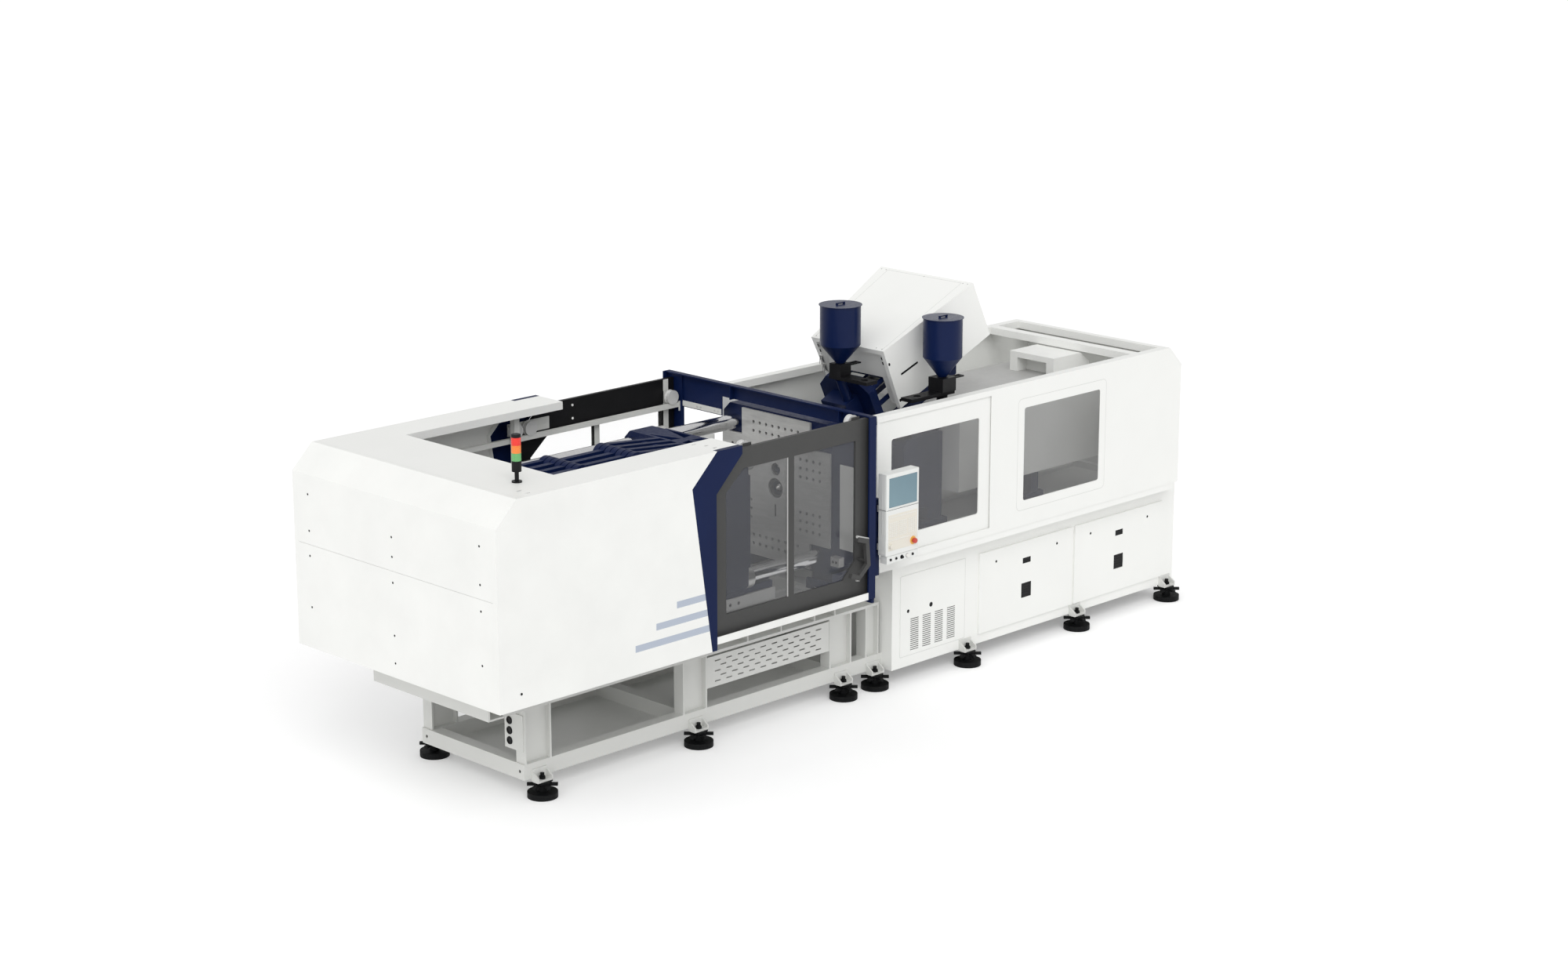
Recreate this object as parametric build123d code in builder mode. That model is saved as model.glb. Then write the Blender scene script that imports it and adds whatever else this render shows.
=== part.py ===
from build123d import *
import os
from math import cos, sin, tan, radians

# Two-component injection moulding machine with a horizontal and an inclined injection unit.
# Millimetres. X runs along the machine from the clamp end to the injection end, the operator
# stands on the -Y side, and Z is up from the floor. Stations along X are counted from the
# outer face of the clamp end, and the helpers below move them to the middle of the machine.

os.makedirs("parts", exist_ok=True)

# Overall sizes
machine_length = 7927.0
mid = machine_length / 2
axis_z = 1614.0
skin = 3.0
seam = 0.3
run_fit = 0.05

# Clamp guard
cover_half = 1139.0
cover_depth = 46.0
guard_bottom = 932.0
guard_top = 2414.0
slope_run = 183.0
slope_drop = 180.0
panel_seam_z = 1714.0
end_plate_run = 30.0
opening_start = 787.0
opening_half = 820.0
opening_fold = 60.0
strip_end = 2290.0
trim_foot = 1985.0
trim_foot_width = 50.0
trim_knee_x = 1799.0
trim_knee_z = 2179.0
trim_head = 2043.0
trim_head_width = 250.0
trim_step_z = 2098.0
trim_step_rise = 256.0

# Sliding doors of the clamp guard
door_gap = 4.0
door_thick = 30.0
door_left = 2030.0
door_right = 3662.0
door_bottom = 1000.0
door_top = 2380.0
door_slant = 260.0
window_foot = 1165.0
window_head = 2225.0
left_window_x = 2174.0
mullion_x = 2809.0
mullion_width = 59.0
right_window_end = 3518.0
window_cut = 128.0
pane_thick = 6.0
rebate = 12.0
rear_door_top = 2350.0
rear_window_head = 2100.0
rear_slot_width = 12.0
roller_radius = 50.0
roller_flange = 58.0
roller_bore = 12.0
rail_width = 30.0
rail_depth = 38.0
front_rail_top = 2300.0
rear_rail_top = 2155.0
rail_y = 1010.0
rail_start = 560.0
front_roller_stations = (2420.0, 3549.0)
rear_roller_stations = (1977.0, 2118.0, 3590.0)
hanger_thick = 7.0
hanger_height = 96.0
post_width_square = 50.0
post_set_back = 17.0
handle_reach = 75.0
handle_thick = 30.0
handle_width = 38.0
sill_foot = 976.0
sill_head = 1031.0
sill_depth = 110.0

# Portal over the mould space
portal_x = 3640.0
portal_width = 52.0
portal_top = 2394.0
portal_web = 117.0
post_left = 3618.0
post_width = 60.0

# Clamp base
rail_box_low = 143.0
rail_box_high = 117.0
base_inner = 479.0
rail_box_width = 100.0
base_start = 665.0
injection_start = 4359.0
box_wall = 8.0
beam_low = 664.0
beam_high = 250.0
beam_inner = 329.0
beam_flange = 22.0
beam_web = 14.0
beam_start = 435.0
beam_end = 4329.0
post_flange = 14.0
post_stations = (679.0, 2213.0, 3773.0)
post_depth = 245.0
last_post = 4178.0
last_post_depth = 150.0
way_height = 20.0
way_start = 2100.0
way_end = 3560.0
rib_stations = (2256.0, 2518.0, 2882.0, 3238.0, 3604.0, 3827.0)
rib_thick = 10.0
slot_length = 60.0
slot_width = 10.0
slot_pitch = 120.0
slot_row_pitch = 80.0
slot_columns = 10
perforated_low = 405.0
perforated_high = 241.0
perforated_thick = 4.0

# Levelling feet
clamp_feet = (802.0, 2335.5, 3895.5, 4253.0)
injection_feet = (5223.0, 6603.0, 7815.0)
pad_radius = 111.0
pad_height = 43.0
hub_radius = 37.5
collar_z = 85.0
collar_height = 20.0
seat_z = 120.0
bracket_depth = 70.0
bracket_width = 140.0
bracket_plate = 15.0
ear_height = 65.0
ear_thick = 12.0
spindle_radius = 15.0

# Clamp platens, tie bars and bolts
tie_half = 461.0
tie_radius = 59.0
tie_start = 330.0
nut_radius = 95.0
nut_length = 100.0
end_platen_x = 450.0
end_platen_depth = 310.0
platen_half = 600.0
moving_face = 2935.0
moving_relief = 20.0
moving_cross = 360.0
moving_depth = 252.0
moving_half = 560.0
bush_length = 60.0
bush_radius = 92.0
fixed_face = 3755.0
fixed_depth = 350.0
cross_relief = 20.0
cross_vertical = 375.0
cross_horizontal = 590.0
cross_top = 586.0
cross_band = 376.0
bolt_pitch = 70.0
bolt_radius = 13.0
bolt_depth = 60.0
bolt_first_y = 272.0
bolt_row_z = 142.0
locating_radius = 80.0
locating_depth = 30.0
nozzle_bore = 75.0
second_locating_radius = 50.0
second_height = 152.0
second_nozzle_bore = 35.0

# Double toggle
link_length = 540.0
pivot_half = 535.0
pivot_c = 1040.0
lobe_radius = 80.0
lane_width = 50.0
lane_pitch = 60.0
pin_radius = 38.0
fold_max = 51.0
drive_radius = 215.0
drive_angle = 16.0
drive_lobe = 42.0
drive_pin = 18.0
cheek_thick = 12.0
drive_link_thick = 22.0
crosshead_half = 36.0
hub_half = 70.0
guide_y = 300.0
guide_radius = 30.0
screw_radius = 31.0
screw_end = 1560.0

# Ejector
ejector_x = 2400.0
ejector_thick = 40.0
ejector_half = 95.0
ejector_rod = 20.0
ejector_tip = 2900.0
ejector_stroke = 150.0

# Signal tower
tower_x = 480.0
tower_y = -795.0
tower_radius = 34.0

# Injection base
base_half = 694.0
base_low = 133.0
base_top = 1036.0
base_wall = 10.0
panel_proud = 18.0
panel_low = 217.0
panel_high = 676.0
panel_one = (5376.0, 6545.0)
panel_two = (6576.0, 7742.0)
louvre_panel = (4447.0, 5220.0)
louvre_columns = (4620.0, 4763.0, 4906.0, 5051.0)
louvre_width = 96.0
louvre_count = 16
louvre_low = 262.0
louvre_pitch = 17.0
louvre_rise = 8.0
louvre_stand = 7.0

# Injection guard
guard_half = 854.0
guard_left = 4004.0
guard_right = 7756.0
guard_head = 2283.0
guard_chamfer = 160.0
guard_sheet = 4.0
sill_band = 55.0
sash_left = 4029.0
sash_right = 5322.0
sash_low = 1153.0
sash_high = 2236.0
sash_depth = 18.0
sash_gap = 8.0
sash_stroke = 1200.0
sash_window = (4177.0, 5192.0, 1294.0, 2079.0)
guard_window = (5728.0, 6680.0, 1302.0, 2073.0)
top_rail_width = 75.0
top_rail_height = 60.0
corner_fillet = 22.0

# Operator panel
panel_x = 3810.0
panel_width = 362.0
panel_back = 1050.0
panel_face = 1139.0
panel_foot = 1275.0
panel_head = 1914.0
strip_foot = 1213.0
strip_head = 1270.0
hinge_x = 3855.0
hinge_y = -1015.0
column_width = 44.0
hinge_levels = (1300.0, 1600.0)
hinge_height = 50.0
hinge_knuckle = 12.0
hinge_pin = 6.0

# Horizontal injection unit
deck_rail_y = 250.0
deck_rail = 30.0
front_house_x = 4900.0
front_house_depth = 460.0
house_half = 300.0
house_low = 1240.0
house_high = 1850.0
rear_house_x = 6480.0
rear_house_depth = 90.0
barrel_radius = 70.0
band_radius = 86.0
nozzle_tip = 40.0
cover_x = 5365.0
cover_end = 7350.0
cover_y = 480.0
cover_low = 1365.0
cover_high = 2045.0
box_x = 6807.0
box_end = 7157.0
box_y = 241.0
box_high = 2214.0

# Inclined injection unit
incline = 25.3
arm_w = -170.0
bracket_end = 5560.0
shroud_near_x = 4551.0
shroud_near_z = 2643.0
shroud_length = 1022.0
shroud_near_half = 396.0
shroud_far_half = 504.0
shroud_height = 552.0
shroud_far_height = 498.0

# Hoppers
hopper_one_x = 4383.0
hopper_one_y = -90.0
hopper_one_base = 2408.0
hopper_one_radius = 161.0
hopper_one_drum = 318.0
hopper_one_cone = 150.0
hopper_one_block = 60.0
hopper_one_neck = 125.0
hopper_two_x = 4955.0
hopper_two_y = -655.0
hopper_two_base = 2283.0
hopper_two_radius = 155.5
hopper_two_drum = 316.0
hopper_two_cone = 159.0
hopper_two_block = 77.0
hopper_two_neck = 139.0
lid_overhang = 9.5
outlet_radius = 30.0
gate_thick = 28.0
gate_width = 120.0
gate_length = 350.0
hopper_sheet = 2.0


def block(x, y, z, mode=Mode.ADD):
    with BuildSketch(Plane.XY.offset(z[0])) as profile:
        with Locations(((x[0] + x[1]) / 2 - mid, (y[0] + y[1]) / 2)):
            Rectangle(x[1] - x[0], y[1] - y[0])
    extrude(profile.sketch, amount=z[1] - z[0], mode=mode)


def side_profile(points, y, mode=Mode.ADD, inset=0.0):
    with BuildSketch(Plane.XZ.offset(-y[1])) as profile:
        with BuildLine():
            Polyline(*[(p[0] - mid, p[1]) for p in points], close=True)
        make_face()
        if inset:
            offset(amount=-inset, kind=Kind.INTERSECTION, mode=Mode.REPLACE)
    extrude(profile.sketch, amount=y[1] - y[0], mode=mode)


def side_disc(x, z, radius, y, mode=Mode.ADD):
    with BuildSketch(Plane.XZ.offset(-y[1])) as profile:
        with Locations((x - mid, z)):
            Circle(radius)
    extrude(profile.sketch, amount=y[1] - y[0], mode=mode)


def long_profile(points, x, mode=Mode.ADD):
    with BuildSketch(Plane.YZ.offset(x[0] - mid)) as profile:
        with BuildLine():
            Polyline(*points, close=True)
        make_face()
    extrude(profile.sketch, amount=x[1] - x[0], mode=mode)


def long_rods(centres, radius, x, mode=Mode.ADD):
    with BuildSketch(Plane.YZ.offset(x[0] - mid)) as profile:
        with Locations(*centres):
            Circle(radius)
    extrude(profile.sketch, amount=x[1] - x[0], mode=mode)


def upright_rods(centres, radius, z, mode=Mode.ADD):
    with BuildSketch(Plane.XY.offset(z[0])) as profile:
        with Locations(*[(c[0] - mid, c[1]) for c in centres]):
            Circle(radius)
    extrude(profile.sketch, amount=z[1] - z[0], mode=mode)


def deck_profile(points, z, mode=Mode.ADD):
    with BuildSketch(Plane.XY.offset(z[0])) as profile:
        with BuildLine():
            Polyline(*[(p[0] - mid, p[1]) for p in points], close=True)
        make_face()
    extrude(profile.sketch, amount=z[1] - z[0], mode=mode)


# Planes that follow the incline: u runs up along the barrel, w stands square to it
tilt = radians(incline)
nozzle_x = fixed_face
nozzle_z = axis_z + second_height
along = (cos(tilt), 0, sin(tilt))
normal = (-sin(tilt), 0, cos(tilt))


def incline_plane(distance, height=0.0):
    x = nozzle_x - mid + along[0] * distance + normal[0] * height
    z = nozzle_z + along[2] * distance + normal[2] * height
    return Plane(origin=(x, 0, z), x_dir=(0, 1, 0), z_dir=along)


def incline_block(u, y, w, mode=Mode.ADD):
    with BuildSketch(incline_plane(u[0])) as profile:
        with Locations(((y[0] + y[1]) / 2, (w[0] + w[1]) / 2)):
            Rectangle(y[1] - y[0], w[1] - w[0])
    extrude(profile.sketch, amount=u[1] - u[0], mode=mode)


def incline_rods(centres, radius, u, mode=Mode.ADD):
    with BuildSketch(incline_plane(u[0])) as profile:
        with Locations(*centres):
            Circle(radius)
    extrude(profile.sketch, amount=u[1] - u[0], mode=mode)


def finish(builder, name):
    builder.part.label = name
    export_step(builder.part, "parts/" + name + ".step")


# Derived heights of the base
rail_box_top = rail_box_low + rail_box_high
base_outer = base_inner + rail_box_width
beam_top = beam_low + beam_high
way_top = beam_top + way_height
door_face = cover_half - cover_depth - door_gap
door_back = door_face - door_thick

# Lower box rails with cross members and the floor pan
with BuildPart() as lower_rails:
    for side in (-1, 1):
        y_low = min(side * base_inner, side * base_outer)
        y_span = (y_low, y_low + rail_box_width)
        block((base_start, injection_start), y_span, (rail_box_low, rail_box_top))
        hollow_y = (y_span[0] + box_wall, y_span[1] - box_wall)
        hollow_z = (rail_box_low + box_wall, rail_box_top - box_wall)
        block((base_start + box_wall, injection_start), hollow_y, hollow_z, Mode.SUBTRACT)
        cap_centre = [(side * (base_inner + rail_box_width / 2), rail_box_low + rail_box_high / 2)]
        long_rods(cap_centre, 12.5, (base_start - 1, base_start + box_wall + 1), Mode.SUBTRACT)
    for station in (base_start, *[s + 60.0 for s in post_stations[1:]]):
        cross = (station, station + rail_box_width)
        block(cross, (-base_inner, base_inner), (rail_box_low, rail_box_top))
    pan_z = (rail_box_low, rail_box_low + 6.0)
    block((base_start, injection_start), (-base_inner, base_inner), pan_z)
finish(lower_rails, "lower_rails")

# Upper I beams with stiffening ribs, cross beams and the hardened slide ways
with BuildPart() as upper_beams:
    for side in (-1, 1):
        y_in = side * beam_inner
        y_out = side * base_outer
        y_mid = (y_in + y_out) / 2
        low_y = min(y_in, y_out)
        high_y = max(y_in, y_out)
        section = [
            (low_y, beam_low),
            (high_y, beam_low),
            (high_y, beam_low + beam_flange),
            (y_mid + beam_web / 2, beam_low + beam_flange),
            (y_mid + beam_web / 2, beam_top - beam_flange),
            (high_y, beam_top - beam_flange),
            (high_y, beam_top),
            (low_y, beam_top),
            (low_y, beam_top - beam_flange),
            (y_mid - beam_web / 2, beam_top - beam_flange),
            (y_mid - beam_web / 2, beam_low + beam_flange),
            (low_y, beam_low + beam_flange),
        ]
        long_profile(section, (beam_start, beam_end))
        for station in rib_stations:
            rib_y = (min(y_mid, y_out), max(y_mid, y_out))
            block((station, station + rib_thick), rib_y, (beam_low, beam_top))
        block((way_start, way_end), (y_mid - 45, y_mid + 45), (beam_top, way_top))
    for station in (beam_start, post_stations[1], post_stations[2]):
        cross_z = (beam_low + beam_flange, beam_top - beam_flange)
        block((station, station + 120.0), (-beam_inner - 100, beam_inner + 100), cross_z)
finish(upper_beams, "upper_beams")

# Perforated side panels between the middle and rear posts
with BuildPart() as perforated_panels:
    panel_left = post_stations[1] + post_depth
    panel_mid = (panel_left + post_stations[2]) / 2
    for side in (-1, 1):
        face_y = side * (base_outer - 8.0)
        y_span = (face_y - perforated_thick / 2, face_y + perforated_thick / 2)
        panel_z = (perforated_low, perforated_low + perforated_high)
        block((panel_left, post_stations[2]), y_span, panel_z)
        centre_z = perforated_low + perforated_high / 2
        with BuildSketch(Plane.XZ.offset(-y_span[1])):
            with Locations((panel_mid - mid, centre_z)):
                with GridLocations(slot_pitch, slot_row_pitch, slot_columns, 3):
                    Rectangle(slot_length, slot_width)
                with GridLocations(slot_pitch, slot_row_pitch, slot_columns - 1, 2):
                    Rectangle(slot_length, slot_width)
        extrude(amount=perforated_thick, mode=Mode.SUBTRACT)
finish(perforated_panels, "perforated_panels")

# Cover frame: channel and outriggers that carry the clamp guard, and the connector plate
outrigger_z = (guard_bottom + skin, guard_bottom + skin + 40.0)
with BuildPart() as cover_frame:
    channel_y = 652.0
    side_profile(
        [
            (294.0, 690.0),
            (beam_start, 690.0),
            (beam_start, 704.0),
            (308.0, 704.0),
            (308.0, guard_bottom - 16.0),
            (beam_start, guard_bottom - 16.0),
            (beam_start, guard_bottom + skin),
            (294.0, guard_bottom + skin),
        ],
        (-channel_y, channel_y),
    )
    outrigger_half = cover_half - skin - seam
    block((294.0, 344.0), (-outrigger_half, outrigger_half), outrigger_z)
    block((1900.0, 1950.0), (-outrigger_half, outrigger_half), outrigger_z)
    for side in (-1, 1):
        foot_y = (side * 454.0 - 40.0, side * 454.0 + 40.0)
        block((1900.0, 1950.0), foot_y, (beam_top, outrigger_z[0]))
        corner_y = side * (cover_half - cover_depth - 25.0)
        block((294.0, 344.0), (corner_y - 25, corner_y + 25), (outrigger_z[1], guard_top - skin - seam))
        rear_y = side * (rail_y - rail_width / 2 - post_set_back - post_width_square / 2)
        rear_span = (rear_y - post_width_square / 2, rear_y + post_width_square / 2)
        block((1900.0, 1950.0), rear_span, (outrigger_z[1], guard_top - skin - seam))
        block((300.0, 340.0), (side * 620.0 - 30, side * 620.0 + 30), (guard_bottom, outrigger_z[0]))
    block((post_stations[0] - 8.0, post_stations[0]), (-565.0, -366.0), (350.0, 623.0))
    hole_centres = [(-420.0, z) for z in (560.0, 484.0, 408.0)]
    long_rods(hole_centres, 30.0, (post_stations[0] - 9.0, post_stations[0] + 1.0), Mode.SUBTRACT)
finish(cover_frame, "cover_frame")

# Levelling feet: round pad, hub with stub arms, seat plate and threaded spindle with its nut
foot_spots = []
for side in (-1, 1):
    turn = (0, 0, 90 + side * 90)
    foot_spots += [Location((s - mid, side * (base_outer + bracket_depth / 2), 0), turn) for s in clamp_feet]
    foot_spots += [Location((s - mid, side * (base_half + bracket_depth / 2), 0), turn) for s in injection_feet]
with BuildPart() as foot:
    with BuildSketch(Plane.XY):
        Circle(pad_radius)
    extrude(amount=pad_height)
    with BuildSketch(Plane.XY.offset(pad_height)):
        Circle(hub_radius)
    extrude(amount=seat_z - 12.0 - pad_height)
    with BuildSketch(Plane.XY.offset(collar_z)):
        with PolarLocations(0, 3, start_angle=15):
            Rectangle(2 * pad_radius, 28.0)
    extrude(amount=collar_height)
    with BuildSketch(Plane.XY.offset(seat_z - 15.0)):
        RegularPolygon(66.0, 8)
    extrude(amount=15.0)
    with BuildSketch(Plane.XY.offset(seat_z)):
        Circle(spindle_radius)
    extrude(amount=bracket_plate + 45.0)
    with BuildSketch(Plane.XY.offset(seat_z + bracket_plate)):
        RegularPolygon(24.0, 6)
    extrude(amount=20.0)
with BuildPart() as levelling_feet:
    with Locations(*foot_spots):
        add(foot.part)
finish(levelling_feet, "levelling_feet")

# Foot bracket: slotted plate between two ears, welded to the outside of the base
with BuildPart() as bracket:
    half_depth = bracket_depth / 2
    with BuildSketch(Plane.XY.offset(seat_z)):
        Rectangle(bracket_width, bracket_depth)
        Circle(spindle_radius + 2.0, mode=Mode.SUBTRACT)
    extrude(amount=bracket_plate)
    with BuildSketch(Plane.XY.offset(seat_z + bracket_plate)):
        with Locations((0, half_depth - 5.0)):
            Rectangle(bracket_width, 10.0)
    extrude(amount=panel_low - 5.0 - seat_z - bracket_plate)
    for edge in (-bracket_width / 2, bracket_width / 2 - ear_thick):
        with BuildSketch(Plane.YZ.offset(edge)):
            with BuildLine():
                Polyline(
                    (half_depth, seat_z),
                    (-half_depth, seat_z),
                    (-half_depth, seat_z + 35.0),
                    (half_depth, seat_z + ear_height + bracket_plate),
                    close=True,
                )
            make_face()
        extrude(amount=ear_thick)

# Welded H post between the box rails and the upper beams
with BuildPart() as post:
    pocket = rail_box_width / 2 - post_flange / 2
    with BuildSketch(Plane.XY.offset(rail_box_top)):
        Rectangle(post_depth, rail_box_width)
        with GridLocations(0, rail_box_width - pocket, 1, 2):
            Rectangle(post_depth - 2 * post_flange, pocket, mode=Mode.SUBTRACT)
    extrude(amount=beam_low - rail_box_top)
with BuildPart() as short_post:
    with BuildSketch(Plane.XY.offset(rail_box_top)):
        Rectangle(last_post_depth, rail_box_width)
        with GridLocations(0, rail_box_width - pocket, 1, 2):
            Rectangle(last_post_depth - 2 * post_flange, pocket, mode=Mode.SUBTRACT)
    extrude(amount=beam_low - rail_box_top)
post_y = base_inner + rail_box_width / 2
with BuildPart() as posts_and_brackets:
    with Locations(*foot_spots):
        add(bracket.part)
    with Locations(*[(s + post_depth / 2 - mid, y, 0) for s in post_stations for y in (-post_y, post_y)]):
        add(post.part)
    with Locations(*[(last_post + last_post_depth / 2 - mid, y, 0) for y in (-post_y, post_y)]):
        add(short_post.part)
finish(posts_and_brackets, "posts_and_brackets")

# End platen with five pairs of toggle lugs, tie bar bores and the screw bore
lug_lanes = [k * lane_pitch for k in (-4, -2, 0, 2, 4)]
rear_lanes = [k * lane_pitch for k in (-3, -1, 1, 3)]
front_lanes = [k * lane_pitch for k in (-2, 0, 2)]
tie_centres = [(sy * tie_half, axis_z + sz * tie_half) for sy in (-1, 1) for sz in (-1, 1)]
end_face = end_platen_x + end_platen_depth
with BuildPart() as end_platen:
    block((end_platen_x, end_face), (-platen_half, platen_half), (axis_z - platen_half, axis_z + platen_half))
    vertical_edges = end_platen.edges().filter_by(Axis.X)
    chamfer(vertical_edges, length=70.0)
    for side in (-1, 1):
        foot_y = (side * 454.0 - 110.0, side * 454.0 + 110.0)
        block((end_platen_x, end_face), foot_y, (beam_top, axis_z - platen_half + 1.0))
        for level in (-1, 1):
            pivot_z = axis_z + level * pivot_half
            root = pivot_z - level * 150.0
            crown = pivot_z + level * (lobe_radius - 15.0)
            for lane in lug_lanes:
                if (lane > 0) == (side > 0) or lane == 0:
                    lane_y = (lane - lane_width / 2, lane + lane_width / 2)
                    side_profile(
                        [
                            (end_face - 5.0, root),
                            (end_face - 5.0, crown),
                            (pivot_c - 20.0, pivot_z + level * (lobe_radius - 3.0)),
                            (pivot_c + 20.0, pivot_z - level * (lobe_radius - 3.0)),
                        ],
                        lane_y,
                    )
                    side_disc(pivot_c, pivot_z, lobe_radius, lane_y)
    for level in (-1, 1):
        pin_y = (-5 * lane_pitch, 5 * lane_pitch)
        side_disc(pivot_c, axis_z + level * pivot_half, pin_radius + run_fit, pin_y, Mode.SUBTRACT)
    long_rods(tie_centres, tie_radius + run_fit, (end_platen_x - 1, end_face + 1), Mode.SUBTRACT)
    long_rods([(0, axis_z)], screw_radius + 9.0, (end_platen_x - 1, end_face + 1), Mode.SUBTRACT)
finish(end_platen, "end_platen")

# Fixed platen: machined cross face with its bolt grid, two locating bores and the nozzle bores,
# and behind it the bracket whose two cheeks carry the inclined unit
fixed_back = fixed_face + fixed_depth
cross_x = (fixed_face, fixed_face + cross_relief)
slope = tan(radians(incline))
with BuildPart() as fixed_platen:
    body_x = (fixed_face + cross_relief, fixed_back)
    block(body_x, (-platen_half, platen_half), (axis_z - platen_half, axis_z + platen_half))
    chamfer(fixed_platen.edges().filter_by(Axis.X), length=70.0)
    block(cross_x, (-cross_vertical, cross_vertical), (axis_z - cross_top, axis_z + cross_top))
    block(cross_x, (-cross_horizontal, cross_horizontal), (axis_z - cross_band, axis_z + cross_band))
    for side in (-1, 1):
        foot_y = (side * 454.0 - 110.0, side * 454.0 + 110.0)
        block((fixed_face + 60.0, fixed_back), foot_y, (beam_top, axis_z - platen_half + 1.0))
    with BuildSketch(Plane.YZ.offset(fixed_face - mid)):
        for level in (-1, 1):
            for side in (-1, 1):
                with Locations((side * (bolt_first_y + 1.5 * bolt_pitch), axis_z + level * (bolt_row_z + bolt_pitch))):
                    with GridLocations(bolt_pitch, bolt_pitch, 4, 3):
                        Circle(bolt_radius)
            with Locations((0, axis_z + level * (bolt_row_z + 4.5 * bolt_pitch))):
                with GridLocations(bolt_pitch, bolt_pitch, 8, 2):
                    Circle(bolt_radius)
    extrude(amount=bolt_depth, mode=Mode.SUBTRACT)
    long_rods(tie_centres, tie_radius + run_fit, (fixed_face - 1, fixed_back + 1), Mode.SUBTRACT)
    long_rods([(0, axis_z)], locating_radius, (fixed_face - 1, fixed_face + locating_depth), Mode.SUBTRACT)
    long_rods([(0, axis_z)], nozzle_bore, (fixed_face, fixed_back + 1), Mode.SUBTRACT)
    upper_hole = [(0, axis_z + second_height)]
    long_rods(upper_hole, second_locating_radius, (fixed_face - 1, fixed_face + locating_depth), Mode.SUBTRACT)
    bore_start = Plane(
        origin=(fixed_face - mid, 0, axis_z + second_height),
        x_dir=(0, 1, 0),
        z_dir=(cos(radians(incline)), 0, sin(radians(incline))),
    )
    with BuildSketch(bore_start.offset(locating_depth * 0.6)):
        Circle(second_nozzle_bore)
    extrude(amount=fixed_depth * 1.4, mode=Mode.SUBTRACT)
    block((fixed_face - 1, fixed_face + 25.0), (-7.5, 7.5), (axis_z - 229.0, axis_z - 129.0), Mode.SUBTRACT)
    for side in (-1, 1):
        cheek = (side * 240.0 - 20.0, side * 240.0 + 20.0)
        start_z = nozzle_z + (fixed_back - nozzle_x) * slope + (arm_w - 30.0) / cos(tilt)
        end_z = nozzle_z + (bracket_end - nozzle_x) * slope + (arm_w - 30.0) / cos(tilt)
        side_profile(
            [
                (fixed_back + seam, axis_z - 90.0),
                (fixed_back + seam, start_z),
                (bracket_end, end_z),
                (bracket_end, end_z - 110.0),
                (4650.0, axis_z + 265.0),
                (4500.0, axis_z + 120.0),
            ],
            cheek,
        )
        incline_block((420.0, 1900.0), (side * 240.0 - 14.0, side * 240.0 + 14.0), (arm_w - 30.0, arm_w))
finish(fixed_platen, "fixed_platen")

# Four tie bars, with a round nut at each end, and the pins of the end platen
pin_span = (-4 * lane_pitch - lane_width / 2 - 8.0, 4 * lane_pitch + lane_width / 2 + 8.0)
tie_end = fixed_back + nut_length + 20.0
with BuildPart() as tie_bars:
    long_rods(tie_centres, tie_radius, (tie_start, tie_end))
finish(tie_bars, "tie_bars")

with BuildPart() as nuts_and_end_pins:
    for start in (end_platen_x - nut_length, fixed_back):
        long_rods(tie_centres, nut_radius, (start, start + nut_length))
        long_rods(tie_centres, tie_radius + run_fit, (start - 1, start + nut_length + 1), Mode.SUBTRACT)
    for level in (-1, 1):
        side_disc(pivot_c, axis_z + level * pivot_half, pin_radius, pin_span)
finish(nuts_and_end_pins, "nuts_and_end_pins")

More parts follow.
